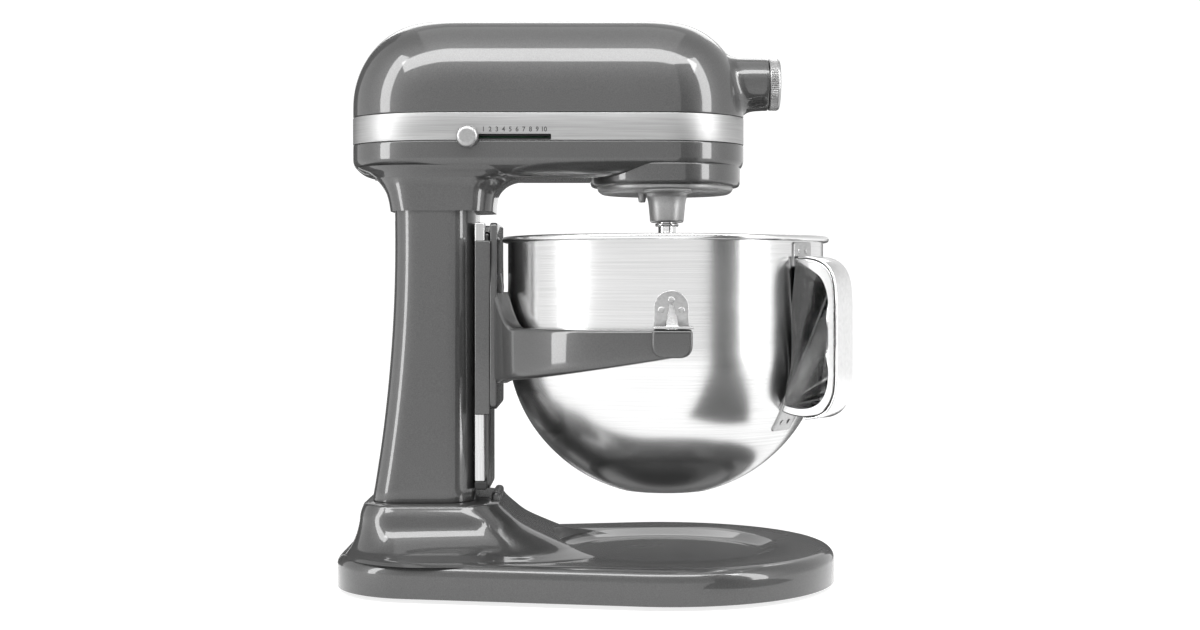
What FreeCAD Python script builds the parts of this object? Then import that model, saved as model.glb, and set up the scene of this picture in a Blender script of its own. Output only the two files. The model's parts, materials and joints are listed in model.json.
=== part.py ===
import FreeCAD, Part
import Sketcher
import math
import operator
import os
import types

# Bowl-lift stand mixer. Millimetres, +Z up, +X towards the front of the mixer.
# Every piece is laid out from the bowl's vertical axis (X = 0, Y = 0, table at Z = 0);
# each sub-part's Placement then moves it so that the origin is the centre of the footprint.

V = FreeCAD.Vector
X_AXIS = V(1, 0, 0)
Y_AXIS = V(0, 1, 0)
Z_AXIS = V(0, 0, 1)
UPRIGHT = FreeCAD.Rotation()
TO_FRONT = FreeCAD.Rotation(Y_AXIS, 90)
TO_FAR_SIDE = FreeCAD.Rotation(X_AXIS, -90)

DRIVING = {
    # frame
    "bowl_axis_x": 55.2,
    # base and feet
    "base_front_radius": 126.5, "base_rear_reach": 241.0, "base_taper": 10.0,
    "base_rear_corner": 65.0, "base_bottom": 3.0, "deck_height": 28.0, "deck_round": 9.0,
    "base_wall": 5.0, "dish_radius": 84.0, "dish_depth": 5.0, "pedestal_top": 64.0,
    "foot_radius": 12.0, "cover_thickness": 1.5,
    # column
    "column_front": 140.5, "column_top": 277.0, "column_wall": 5.0, "column_half_width": 45.0,
    "column_corner": 22.0,
    "rib_front": 129.6, "rib_half_width": 26.0, "slot_half_width": 15.0,
    # head
    "head_rear": 234.4, "head_front": 59.0, "head_half_width": 56.5, "head_top": 418.6,
    "head_floor": 301.0, "head_inner_floor": 315.0, "head_wall": 4.0,
    "head_rear_round": 75.0, "head_front_round": 68.0, "crown_spring": 355.0,
    "crown_draw_rear": 57.0, "crown_draw_front": 55.0, "crown_draw_side": 43.0,
    "crown_draw_rear_round": 50.0, "crown_draw_front_round": 45.0,
    "band_bottom": 327.0, "band_top": 347.0, "band_thickness": 2.0, "seam": 0.3,
    "hub_height": 373.0, "hub_neck_radius": 19.6, "hub_neck_end": 77.0,
    "hub_sleeve_outer": 16.0, "hub_sleeve_inner": 12.7, "hub_cap_end": 86.0,
    # speed control
    "knob_radius": 8.2, "knob_rest": 144.2, "knob_travel": 55.0, "slot_height": 329.4,
    "slot_half_height": 2.15, "stem_gap": 3.2, "slot_overrun": 1.9,
    # planetary drive
    "ring_outer": 56.4, "ring_bottom": 295.4, "ring_top": 311.0, "ring_cavity": 51.3,
    "disc_radius": 50.8, "disc_bottom": 290.0, "disc_top": 297.0, "planet_offset": 36.0,
    "boss_radius": 13.0, "boss_bottom": 268.0, "shaft_radius": 6.35, "shaft_bottom": 228.0,
    "shaft_guide": 14.0, "shaft_relief": 0.15,
    "ring_module": 1.5, "ring_teeth": 61.0, "planet_teeth": 13.0,
    "centre_shaft_radius": 6.0, "running_gap": 0.05,
    "bevel_wheel_teeth": 30.0, "bevel_pinion_teeth": 15.0, "bevel_module": 1.8,
    "spur_module": 1.0, "drive_teeth": 36.0, "motor_teeth": 12.0,
    # motor
    "motor_height": 349.0, "motor_radius": 33.0, "motor_front": 104.0, "motor_rear": 188.0,
    # bowl
    "bowl_radius": 118.0, "bowl_wall": 1.2, "bowl_rim": 256.0, "bowl_round": 178.0,
    "bowl_depth": 113.0, "bowl_foot_radius": 34.0, "bead_radius": 2.3,
    # bowl support
    "arm_inner": 121.4, "arm_outer": 133.6, "arm_top": 192.0, "arm_root_bottom": 154.0,
    "arm_tip_bottom": 173.0, "lift_travel": 36.0, "plate_front": 123.8, "plate_back": 129.2,
    "plate_bottom": 130.0, "plate_top": 268.0, "slider_half_width": 45.5,
    "rail_bottom": 79.0, "rail_top": 268.0, "rail_centre": 35.0, "rail_half_width": 5.0,
    "rail_back": 140.5, "rail_front": 133.0,
    # lift mechanism
    "lift_shaft_x": 165.0, "lift_shaft_z": 190.0, "lift_shaft_radius": 5.0,
    "crank_radius": 22.0, "crank_angle": 125.0, "lever_length": 92.0, "lever_side": 52.0,
    # handle
    "handle_angle": -36.5, "handle_reach": 153.0, "handle_width": 26.0,
}

DOC = FreeCAD.newDocument("stand_mixer")
SHEET = DOC.addObject("Spreadsheet::Sheet", "Sizes")
for row, (alias, number) in enumerate(DRIVING.items(), start=1):
    SHEET.set("A%d" % row, alias)
    SHEET.set("B%d" % row, str(number))
    SHEET.setAlias("B%d" % row, alias)
DOC.recompute()


class Size:
    """A length that knows both its number and its formula on the sheet."""

    def __init__(self, number, text=None):
        self.number = float(number)
        self.text = text or "(%r)" % self.number

    def joined(self, other, sign, work):
        other = as_size(other)
        text = "(%s %s %s)" % (self.text, sign, other.text)
        return Size(work(self.number, other.number), text)

    def __add__(self, other):
        return self.joined(other, "+", operator.add)

    def __sub__(self, other):
        return self.joined(other, "-", operator.sub)

    def __mul__(self, other):
        return self.joined(other, "*", operator.mul)

    def __truediv__(self, other):
        return self.joined(other, "/", operator.truediv)

    def __rsub__(self, other):
        return as_size(other) - self

    def __neg__(self):
        return as_size(0) - self

    def __float__(self):
        return self.number

    __radd__ = __add__
    __rmul__ = __mul__


def as_size(value):
    return value if isinstance(value, Size) else Size(value)


def cosine(angle):
    return Size(math.cos(math.radians(angle.number)), "cos(%s)" % angle.text)


def sine(angle):
    return Size(math.sin(math.radians(angle.number)), "sin(%s)" % angle.text)


S = types.SimpleNamespace(**{
    alias: Size(SHEET.get(alias), "Sizes." + alias) for alias in DRIVING})
NODES = []


# Placing and naming

def bind(item, **values):
    """Binds properties to their formulas on the sheet."""
    for name, value in values.items():
        item.setExpression(name, as_size(value).text)
    return item


def put(item, x=0, y=0, z=0, turn=UPRIGHT):
    """Places an object, with its position bound to the sheet."""
    item.Placement = FreeCAD.Placement(V(0, 0, 0), turn)
    for axis, value in zip("xyz", (x, y, z)):
        item.setExpression("Placement.Base." + axis, as_size(value).text)
    return item


def node(label, item, x=0, y=0, z=0, turn=UPRIGHT):
    """Names a finished sub-part and moves it into the object's frame."""
    if item.TypeId.startswith("Part::") and item.ExpressionEngine:
        item = group(item)
    item.Label = label
    NODES.append(item)
    return put(item, S.bowl_axis_x + x, y, z, turn)


# Primitives and booleans

def box(x_low, x_high, y_low, y_high, z_low, z_high):
    """A box between two corners."""
    item = DOC.addObject("Part::Box", "Block")
    bind(item, Length=as_size(x_high) - x_low, Width=as_size(y_high) - y_low,
         Height=as_size(z_high) - z_low)
    return put(item, x_low, y_low, z_low)


def slab(x_low, x_high, half_width, z_low, z_high):
    """A box that is even about the X-Z plane."""
    return box(x_low, x_high, -as_size(half_width), half_width, z_low, z_high)


def rod(radius, length, x=0, y=0, z=0, turn=UPRIGHT):
    """A cylinder from its end's centre, along Z or along the turned axis."""
    item = DOC.addObject("Part::Cylinder", "Rod")
    bind(item, Radius=radius, Height=length)
    return put(item, x, y, z, turn)


def taper(low_radius, high_radius, length, x=0, y=0, z=0, turn=UPRIGHT):
    """A cone frustum from its low end's centre."""
    item = DOC.addObject("Part::Cone", "Taper")
    bind(item, Radius1=low_radius, Radius2=high_radius, Height=length)
    return put(item, x, y, z, turn)


def ring(centre_radius, tube_radius, x=0, y=0, z=0, turn=UPRIGHT):
    """A torus."""
    item = DOC.addObject("Part::Torus", "Ring")
    bind(item, Radius1=centre_radius, Radius2=tube_radius)
    return put(item, x, y, z, turn)


def fuse(*items):
    """One solid from several that touch or cross."""
    item = DOC.addObject("Part::MultiFuse", "Joined")
    item.Shapes = list(items)
    item.Refine = True
    return item


def cut(base, *tools):
    """The base less each tool."""
    for tool in tools:
        item = DOC.addObject("Part::Cut", "Cut")
        item.Base = base
        item.Tool = tool
        base = item
    return base


def common(first, second):
    """What two solids share."""
    item = DOC.addObject("Part::Common", "Shared")
    item.Base = first
    item.Tool = second
    return item


def group(*items):
    """Separate solids kept as one sub-part."""
    item = DOC.addObject("Part::Compound", "Group")
    item.Links = list(items)
    return item


def tube(outer, inner, length, x=0, y=0, z=0, turn=UPRIGHT):
    """A round tube from its end's centre."""
    return cut(rod(outer, length, x, y, z, turn), rod(inner, length, x, y, z, turn))


def shaped(shape):
    """A feature that holds a shape worked out from the sheet's sizes."""
    item = DOC.addObject("Part::Feature", "Shaped")
    item.Shape = shape
    return item


# Sketched bodies

def sketch_on(body, role):
    """An empty sketch on one of the body's origin planes."""
    sketch = body.newObject("Sketcher::SketchObject", "Profile")
    plane = next(item for item in body.Origin.OriginFeatures if item.Role == role)
    sketch.AttachmentSupport = [(plane, "")]
    sketch.MapMode = "FlatFace"
    return sketch


def hold_point(sketch, edge, end, x, y):
    """Fixes one end of an edge at a position bound to the sheet."""
    for kind, value in (("DistanceX", as_size(x)), ("DistanceY", as_size(y))):
        index = sketch.addConstraint(
            Sketcher.Constraint(kind, -1, 1, edge, end, value.number))
        sketch.setExpression("Constraints[%d]" % index, value.text)


def polygon(sketch, corners):
    """A closed outline with every corner bound to the sheet."""
    corners = [(as_size(x), as_size(y)) for x, y in corners]
    for index, start in enumerate(corners):
        end = corners[(index + 1) % len(corners)]
        edge = sketch.addGeometry(Part.LineSegment(
            V(start[0].number, start[1].number, 0), V(end[0].number, end[1].number, 0)))
        hold_point(sketch, edge, 1, *start)
    for index in range(len(corners)):
        following = (index + 1) % len(corners)
        sketch.addConstraint(Sketcher.Constraint("Coincident", index, 2, following, 1))


def turned(corners, plane="XZ_Plane", axis="V_Axis"):
    """A body of revolution from a half profile."""
    body = DOC.addObject("PartDesign::Body", "Body")
    sketch = sketch_on(body, plane)
    polygon(sketch, corners)
    revolution = body.newObject("PartDesign::Revolution", "Revolution")
    revolution.Profile = sketch
    revolution.ReferenceAxis = (sketch, [axis])
    revolution.Angle = 360
    body.Tip = revolution
    return body


def turned_x(corners):
    """A body of revolution about X, from (x, radius) corners."""
    return turned(corners, "XZ_Plane", "H_Axis")


def turned_y(corners):
    """A body of revolution about Y, from (y, radius) corners."""
    return turned(corners, "YZ_Plane", "H_Axis")


def plate(corners, thickness, plane="XY_Plane", midplane=False):
    """A flat plate from its outline."""
    body = DOC.addObject("PartDesign::Body", "Body")
    sketch = sketch_on(body, plane)
    polygon(sketch, corners)
    pad = body.newObject("PartDesign::Pad", "Pad")
    pad.Profile = sketch
    pad.setExpression("Length", as_size(thickness).text)
    if midplane:
        pad.SideType = "Symmetric"
    body.Tip = pad
    return body


# Closed outlines and lofts

def oval(rear, front, half_width, rear_round, front_round, z):
    """A closed wire with straight sides and half-ellipse ends."""
    x_rear = rear + rear_round
    x_front = front - front_round

    def half_end(x, depth, first, last):
        if depth > half_width:
            curve = Part.Ellipse(V(x + depth, 0, z), V(x, half_width, z), V(x, 0, z))
            return Part.ArcOfEllipse(curve, first - math.pi / 2, last - math.pi / 2).toShape()
        curve = Part.Ellipse(V(x, half_width, z), V(x - depth, 0, z), V(x, 0, z))
        return Part.ArcOfEllipse(curve, first - math.pi, last - math.pi).toShape()

    return Part.Wire([
        half_end(x_front, front_round, 0, math.pi),
        Part.LineSegment(V(x_front, half_width, z), V(x_rear, half_width, z)).toShape(),
        half_end(x_rear, rear_round, math.pi, 2 * math.pi),
        Part.LineSegment(V(x_rear, -half_width, z), V(x_front, -half_width, z)).toShape(),
    ])


def round_rectangle(x_low, x_high, half_width, corner, z):
    """A closed rectangle wire with round corners, even about the X-Z plane."""
    points = []
    slant = corner * (1 - math.sqrt(0.5))
    for x, y, across, along in ((x_high, -half_width, -1, 1), (x_high, half_width, -1, -1),
                                (x_low, half_width, 1, -1), (x_low, -half_width, 1, 1)):
        points.append((V(x + across * corner, y, z), V(x + across * slant, y + along * slant, z),
                       V(x, y + along * corner, z)))
    edges = []
    for index, (flat, middle, upright) in enumerate(points):
        start, end = (flat, upright) if index % 2 == 0 else (upright, flat)
        edges.append(Part.Arc(start, middle, end).toShape())
        following = points[(index + 1) % 4]
        following = following[2] if index % 2 == 0 else following[0]
        edges.append(Part.LineSegment(end, following).toShape())
    return Part.Wire(edges)


def base_outline(inset, z):
    """The base's plan: a round front, tapered sides and a round-cornered rear."""
    radius = S.base_front_radius.number - inset
    corner = S.base_rear_corner.number - inset
    lean = math.radians(90 + S.base_taper.number)
    out = V(math.cos(lean), math.sin(lean), 0)
    corner_x = -S.base_rear_reach.number + S.base_rear_corner.number
    corner_y = (radius - corner - out.x * corner_x) / out.y
    middle = math.radians(135 + S.base_taper.number / 2)
    centre = V(corner_x, corner_y, z)
    side = [out * radius + V(0, 0, z), centre + out * corner,
            centre + V(math.cos(middle), math.sin(middle), 0) * corner,
            centre - X_AXIS * corner]
    far = [V(point.x, -point.y, z) for point in side]
    return Part.Wire([
        Part.Arc(far[0], V(radius, 0, z), side[0]).toShape(),
        Part.LineSegment(side[0], side[1]).toShape(),
        Part.Arc(side[1], side[2], side[3]).toShape(),
        Part.LineSegment(side[3], far[3]).toShape(),
        Part.Arc(far[3], far[2], far[1]).toShape(),
        Part.LineSegment(far[1], far[0]).toShape(),
    ])


def loft(wires, ruled=False):
    """A solid through a stack of outlines."""
    return Part.makeLoft(wires, True, ruled)


# Base

def base_casting():
    """Hollow base with the column's pedestal and a shallow dish under the bowl."""
    low = S.base_bottom.number
    deck = S.deck_height.number
    wall = S.base_wall.number
    outer = Part.Face(base_outline(0, low)).extrude(V(0, 0, deck - low))
    rim = [edge for edge in outer.Edges
           if min(vertex.Z for vertex in edge.Vertexes) > deck - 1]
    outer = outer.makeFillet(S.deck_round.number, rim)
    top = S.pedestal_top.number
    rear = S.base_rear_reach.number
    levels = ((deck - 2, rear - 7, 50, 94, 60), (deck + 5, rear - 11, 72, 80, 46),
              (deck + 12, rear - 14, 89, 72, 38), (deck + 20, rear - 16, 106, 66, 33),
              (top - 6, rear - 16.5, 117, 63, 30), (top, rear - 20, 123, 58, 27))
    pedestal = loft([round_rectangle(-back, -front, half, corner, z)
                     for z, back, front, half, corner in levels])
    hump = Part.makeBox(7, 50, 12, V(-129.3, -25, top - 6.5))
    hump = hump.makeFillet(3, [edge for edge in hump.Edges
                               if min(vertex.Z for vertex in edge.Vertexes) > top])
    cavity = Part.Face(base_outline(wall, low)).extrude(V(0, 0, deck - low - wall - S.dish_depth.number))
    dish = Part.makeCone(S.dish_radius.number - 12, S.dish_radius.number, S.dish_depth.number,
                         V(0, 0, deck - S.dish_depth.number))
    shape = outer.fuse([pedestal, hump]).cut([cavity, dish]).removeSplitter()
    item = cut(shaped(shape), *[rod(3.2, S.pedestal_top, x, y, 0) for x, y in BOLT_PLACES])
    node("base_casting", item)


BOLT_PLACES = [(S.column_front * sign_x + shift, S.column_half_width * side - 12 * side)
               for sign_x, shift in ((-1, -12), (-1, -50)) for side in (-1, 1)]
FOOT_PLACES = [(92, 0), (35, 88), (35, -88), (-195, 58), (-195, -58)]


def base_bottom_cover():
    """Thin sheet that closes the underside of the base, with holes for the feet's stems."""
    thickness = S.cover_thickness.number
    face = Part.Face(base_outline(S.base_wall.number + 0.3, S.base_bottom.number))
    cover = shaped(face.extrude(V(0, 0, thickness)))
    node("base_bottom_cover", cut(cover, *[rod(4, 20, x, y, 0) for x, y in FOOT_PLACES],
                                  *[rod(6, 20, x, y, 0) for x, y in BOLT_PLACES]))


def base_feet():
    """Five rubber feet with stems pushed through the bottom cover."""
    feet = []
    for x, y in FOOT_PLACES:
        pad = taper(S.foot_radius - 1, S.foot_radius, S.base_bottom, x, y, 0)
        feet.append(fuse(pad, rod(4, 8, x, y, S.base_bottom - 1)))
    node("base_feet", group(*feet))


# Column

def column_section(z, inset=0.0):
    """One level of the column, whose back edge swings out towards the foot."""
    level = (z - S.pedestal_top.number) / (S.column_top.number - S.pedestal_top.number)
    rear = 216.5 - 37 * level + 21 * level ** 2
    half = S.column_half_width.number + 3 * (1 - level) ** 2
    return round_rectangle(-rear + inset, -S.column_front.number - inset, half - inset,
                           S.column_corner.number - inset, z)


def column():
    """Hollow column with a rib between the rails and a slot for the lift lug."""
    bottom = S.pedestal_top.number
    top = S.column_top.number
    levels = [bottom + (top - bottom) * step / 6 for step in range(7)]
    wall = S.column_wall.number
    outer = loft([column_section(z) for z in levels])
    inner = loft([column_section(z, wall) for z in levels])
    floor = Part.makeBox(120, 120, 6, V(-240, -60, bottom))
    shell = shaped(outer.cut(inner.cut(floor)))
    rib = slab(-S.column_front - 1, -S.rib_front, S.rib_half_width, S.pedestal_top + 8, 262)
    mouth = slab(-S.column_front - 8, -S.rib_front + 1, S.slot_half_width,
                 S.lift_shaft_z - 36, S.lift_shaft_z + 36)
    boss = rod(13, 22, -S.lift_shaft_x, 21, S.lift_shaft_z, TO_FAR_SIDE)
    shaft_hole = rod(S.lift_shaft_radius + 3, 60, -S.lift_shaft_x, 0, S.lift_shaft_z, TO_FAR_SIDE)
    bolts = [rod(3.2, 20, x, y, S.pedestal_top - 1) for x, y in BOLT_PLACES]
    node("column", cut(fuse(shell, rib, boss), mouth, shaft_hole, *bolts))


def column_bolts():
    """Four bolts up through the pedestal into the column's floor."""
    bolts = []
    for x, y in BOLT_PLACES:
        head = rod(5.5, 4, x, y, S.deck_height - S.base_wall - S.dish_depth - 4)
        shank = rod(3.1, 66, x, y, S.deck_height - S.base_wall - S.dish_depth - 0.5)
        bolts.append(fuse(head, shank))
    node("column_bolts", group(*bolts))


def guide_rails():
    """Two steel rails on the column's front."""
    rails = []
    for side in (-1, 1):
        rails.append(box(-S.rail_back, -S.rail_front, S.rail_centre * side - S.rail_half_width,
                         S.rail_centre * side + S.rail_half_width, S.rail_bottom, S.rail_top))
    node("guide_rails", group(*rails))


def rail_stops():
    """Black stops under the rails."""
    stops = []
    for side in (-1, 1):
        stops.append(box(-S.rail_back, -S.rail_front + 1.5,
                         S.rail_centre * side - S.rail_half_width,
                         S.rail_centre * side + S.rail_half_width,
                         S.rail_bottom - 6, S.rail_bottom))
    node("rail_stops", group(*stops))


# Head

def head_outline(inset, z, rise=0.0):
    """The head's plan at the band, drawn in as the crown rises (0 at the band, 1 at the top)."""
    lean = math.asin(min(rise, 1.0))
    draw = 1 - math.cos(lean)
    rear = -S.head_rear.number + S.crown_draw_rear.number * draw + inset
    front = S.head_front.number - S.crown_draw_front.number * draw - inset
    half = S.head_half_width.number - S.crown_draw_side.number * draw - inset
    rear_round = S.head_rear_round.number - S.crown_draw_rear_round.number * draw - inset
    front_round = S.head_front_round.number - S.crown_draw_front_round.number * draw - inset
    return oval(rear, front, half, rear_round, front_round, z)


def crown(inset):
    """The rounded top of the head, from the band up."""
    low = S.band_top.number + S.seam.number
    spring = S.crown_spring.number
    rise = S.head_top.number - spring - inset
    wires = [head_outline(inset, low), head_outline(inset, spring)]
    for step in range(1, 7):
        lean = math.radians(15 * step)
        wires.append(head_outline(inset, spring + rise * math.sin(lean), math.sin(lean)))
    return loft(wires)


def head_top_cover():
    """Upper casting with the attachment hub's neck."""
    wall = S.head_wall.number
    shell = shaped(crown(0).cut(crown(wall)))
    neck = taper(S.hub_neck_radius + 3, S.hub_neck_radius, S.hub_neck_end - 42, 42, 0,
                 S.hub_height, TO_FRONT)
    bore = rod(S.hub_sleeve_outer, 60, 40, 0, S.hub_height, TO_FRONT)
    clamp_hole = rod(3.1, 40, 64, 0, S.hub_height, TO_FAR_SIDE)
    head = fuse(shell, neck)
    node("head_top_cover", cut(head, bore, clamp_hole, *screw_holes(S.band_top, 12)))


SCREW_PLACES = [(30, 38), (30, -38), (-172, 43), (-172, -43)]


def screw_holes(z, depth):
    return [rod(2.1, depth, x, y, z - 1) for x, y in SCREW_PLACES]


def slot_front():
    """Where the speed slot ends, from the knob's rest place and travel."""
    return -S.knob_rest + S.knob_travel + S.stem_gap + S.slot_overrun


def head_lower_housing():
    """Lower casting: a floor, a lip behind the band and the neck that stands on the column."""
    low = S.band_bottom.number - S.seam.number
    wall = S.head_wall.number
    floor = S.head_floor.number
    bowl = loft([head_outline(22, floor), head_outline(9, floor + 3), head_outline(2.2, floor + 9),
                 head_outline(0.6, floor + 11.5), head_outline(0, floor + 14), head_outline(0, low)])
    lip_inset = S.band_thickness.number + 0.3
    lip = loft([head_outline(lip_inset, low - 0.5), head_outline(lip_inset, S.band_top.number)], True)
    bottom = S.column_top.number
    neck = loft([round_rectangle(-204, -128, 46, 20, bottom),
                 round_rectangle(-205, -127, 46.5, 20, bottom + 7),
                 round_rectangle(-211, -118, 46.5, 30, bottom + 16),
                 round_rectangle(-221, -98, 44, 38, bottom + 27)])
    pillar = round_rectangle(-190, -142, 30, 10, bottom - 1)
    well = Part.Face(pillar).extrude(V(0, 0, 60))
    cavity = loft([head_outline(wall + lip_inset, S.head_inner_floor.number),
                   head_outline(wall + lip_inset, S.band_top.number + 1)], True)
    recess = Part.makeCylinder(S.ring_outer.number + 0.4, 30, V(0, 0, S.ring_top.number - 30))
    shape = bowl.fuse([lip, neck]).cut([cavity, well, recess]).removeSplitter()
    stem_slot = box(-S.knob_rest - 3.4, slot_front() + 3.4, -S.head_half_width - 2,
                    -S.head_half_width + 12, S.slot_height - 3.4, S.slot_height + 3.4)
    bosses = [rod(5, S.band_top - S.head_inner_floor, x, y, S.head_inner_floor)
              for x, y in SCREW_PLACES]
    gland_hole = rod(6, 40, -212, 0, S.head_floor - 12)
    bearing_hole = rod(11, 40, 0, 0, S.ring_top - 5)
    base = fuse(shaped(shape), *bosses)
    node("head_lower_housing", cut(base, stem_slot, gland_hole, bearing_hole,
                                   *screw_holes(S.band_top - 12, 20)))


def head_screws():
    """Four screws that hold the top cover."""
    screws = []
    for x, y in SCREW_PLACES:
        screws.append(rod(2.05, 11, x, y, S.band_top - 11.5))
    node("head_screws", group(*screws))


def trim_band():
    """Brushed strip round the head, notched for the speed slot."""
    low = S.band_bottom.number
    high = S.band_top.number
    outer = Part.Face(head_outline(0, low)).extrude(V(0, 0, high - low))
    inner = Part.Face(head_outline(S.band_thickness.number, low)).extrude(V(0, 0, high - low))
    notch = box(-S.knob_rest - S.stem_gap, slot_front(), -S.head_half_width - 1, -S.head_half_width + 4,
                S.slot_height - S.slot_half_height, S.slot_height + S.slot_half_height)
    node("trim_band", cut(shaped(outer.cut(inner)), notch))


def speed_slot_insert():
    """Black guide strip behind the band with the slot that the knob's stem runs in."""
    strip = box(-S.knob_rest - 9, slot_front() + 8, -S.head_half_width + 6.4,
                -S.head_half_width + 8.4, S.slot_height - 6, S.slot_height + 6)
    slot = box(-S.knob_rest - S.stem_gap, slot_front() + 1, -S.head_half_width, -S.head_half_width + 12,
               S.slot_height - 1.9, S.slot_height + 1.9)
    node("speed_slot_insert", cut(strip, slot))


def speed_knob():
    """Round finger knob with its stem and the slide block inside the head."""
    out = -S.head_half_width
    knob = turned_y([(out - 8.6, 0), (out - 8.6, S.knob_radius - 1), (out - 7.6, S.knob_radius),
                     (out - 1.4, S.knob_radius), (out - 0.8, S.knob_radius - 0.6),
                     (out - 0.8, 1.5), (out + 9.5, 1.5), (out + 9.5, 5), (out + 12, 5), (out + 12, 0)])
    node("speed_knob", knob, -S.knob_rest, 0, S.slot_height)


def control_board():
    """Speed control board under the slide block."""
    board = box(-158, -70, -S.head_half_width + 14, -S.head_half_width + 15.6, 316, 346)
    chips = [box(x, x + 10, -S.head_half_width + 15.6, -S.head_half_width + 19, 326, 338)
             for x in (-150, -132, -112)]
    node("control_board", fuse(board, *chips))


def cord_gland():
    """Rubber grommet in the underside of the head's rear, with nothing through it."""
    gland = turned([(4, 0), (6, 0), (6, 14), (8, 14), (8, 16), (4, 16)])
    node("cord_gland", gland, -212, 0, S.head_floor)


# Gears

def gear_wire(teeth, pitch, tip, root, rise, fall, z=0.0, turn=0.0, share=0.84, scale=1.0):
    """A straight-flanked tooth outline; share is the tooth's part of half the pitch."""
    half = math.pi / (2 * teeth) * share
    slope = math.tan(math.radians(20)) / pitch
    narrow = half - rise * slope
    wide = half + fall * slope
    tip = tip * scale
    root = root * scale
    points = []
    for tooth in range(int(teeth)):
        centre = turn + 2 * math.pi * tooth / teeth
        for radius, angle in ((root, -wide), (tip, -narrow), (tip, narrow), (root, wide)):
            points.append(V(radius * math.cos(centre + angle), radius * math.sin(centre + angle), z))
    return Part.makePolygon(points + points[:1])


def spur_gear(teeth, module, width, z=0.0, turn=0.0):
    """A spur gear about Z."""
    pitch = teeth * module / 2
    rise = 0.85 * module
    fall = 1.15 * module
    wire = gear_wire(teeth, pitch, pitch + rise, pitch - fall, rise, fall, z, turn)
    return Part.Face(wire).extrude(V(0, 0, width))


def bevel_gear(teeth, mate_teeth, module, turn=0.0):
    """A bevel gear below its cone's apex at the origin, about Z."""
    pitch = teeth * module / 2
    depth = mate_teeth * module / 2
    slant = math.hypot(pitch, depth)
    cone = math.atan2(pitch, depth)
    rise = 0.7 * module
    fall = module
    tip = depth * math.tan(cone + rise / slant)
    root = depth * math.tan(cone - fall / slant)
    outlines = [gear_wire(teeth, pitch, tip, root, rise, fall, -depth * scale, turn, 0.74, scale)
                for scale in (1, 0.7)]
    return loft(outlines, True)


def internal_ring_gear():
    """Fixed ring that the planet pinion rolls round."""
    module = S.ring_module.number
    teeth = S.ring_teeth.number
    pitch = teeth * module / 2
    body = Part.makeCylinder(S.ring_cavity.number, 8, V(0, 0, S.disc_top.number + 1.6))
    rise = 1.15 * module
    fall = 0.85 * module
    gaps = gear_wire(teeth, pitch, pitch + rise, pitch - fall, rise, fall,
                     S.disc_top.number + 1, -math.pi / 2, 1.16)
    node("internal_ring_gear", shaped(body.cut(Part.Face(gaps).extrude(V(0, 0, 10)))))


def planetary_housing():
    """Painted ring casting under the head that holds the ring gear and the centre bearing."""
    casting = turned([(11, S.ring_top - 3), (S.ring_cavity, S.ring_top - 3),
                      (S.ring_cavity, S.ring_bottom), (S.ring_outer - 1, S.ring_bottom),
                      (S.ring_outer, S.ring_bottom + 1), (S.ring_outer, S.ring_top),
                      (11, S.ring_top)])
    node("planetary_housing", casting)


def centre_bearing():
    inner = S.centre_shaft_radius + S.running_gap
    node("centre_bearing", tube(11, inner, 12, 0, 0, S.ring_top - 3))


def planetary_hub():
    """Silver disc and boss that carry the agitator shaft round the bowl."""
    disc = turned([(S.centre_shaft_radius, S.disc_bottom + 3), (S.centre_shaft_radius, S.disc_top),
                   (S.disc_radius, S.disc_top), (S.disc_radius, S.disc_bottom + 2.5),
                   (S.disc_radius - 2.5, S.disc_bottom), (0, S.disc_bottom), (0, S.disc_bottom + 3)])
    boss = taper(S.boss_radius - 0.8, S.boss_radius + 0.6, S.disc_bottom - S.boss_bottom + 0.5, 0,
                 -S.planet_offset, S.boss_bottom)
    collar = taper(S.boss_radius, S.boss_radius + 5, 4.5, 0, -S.planet_offset, S.disc_bottom - 4)
    bore = rod(S.shaft_radius - S.shaft_relief + S.running_gap, 60, 0, -S.planet_offset, S.boss_bottom - 10)
    node("planetary_hub", cut(fuse(disc, boss, collar), bore))


def centre_shaft():
    """Vertical shaft pressed into the planetary hub."""
    node("centre_shaft", turned([(0, S.disc_bottom + 3), (S.centre_shaft_radius, S.disc_bottom + 3),
                                 (S.centre_shaft_radius, 366), (0, 366)]))


def centre_bevel_gear():
    """Large bevel gear on top of the centre shaft."""
    teeth = bevel_gear(S.bevel_wheel_teeth.number, S.bevel_pinion_teeth.number,
                       S.bevel_module.number)
    teeth.translate(V(0, 0, S.hub_height.number))
    heel = S.hub_height - S.bevel_pinion_teeth * S.bevel_module / 2
    hub = rod(12, 24.5, 0, 0, heel - 24)
    web = rod(22, 6.5, 0, 0, heel - 6)
    blank = cut(fuse(web, hub), rod(S.centre_shaft_radius, 80, 0, 0, heel - 40))
    crown_wheel = cut(shaped(teeth), rod(S.centre_shaft_radius, 80, 0, 0, heel - 40))
    node("centre_bevel_gear", fuse(blank, crown_wheel))


def agitator_shaft():
    """Chrome shaft that the beaters hook on to."""
    guide_top = S.shaft_bottom + S.shaft_guide
    stem = S.shaft_radius - S.shaft_relief
    shaft = turned([(0, S.shaft_bottom), (S.shaft_radius - 1, S.shaft_bottom),
                    (S.shaft_radius, S.shaft_bottom + 1), (S.shaft_radius, guide_top),
                    (stem, guide_top + 0.5), (stem, S.disc_top + 1),
                    (5, S.disc_top + 1), (5, S.disc_top + 9.6), (0, S.disc_top + 9.6)])
    pin_hole = rod(1.6, 40, -20, 0, S.shaft_bottom + 20, TO_FRONT)
    node("agitator_shaft", cut(shaft, pin_hole), 0, -S.planet_offset)


def agitator_pin():
    """Cross pin that locks a beater's bayonet slot."""
    node("agitator_pin", rod(1.6, 20, -10, 0, S.shaft_bottom + 20, TO_FRONT), 0, -S.planet_offset)


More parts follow.
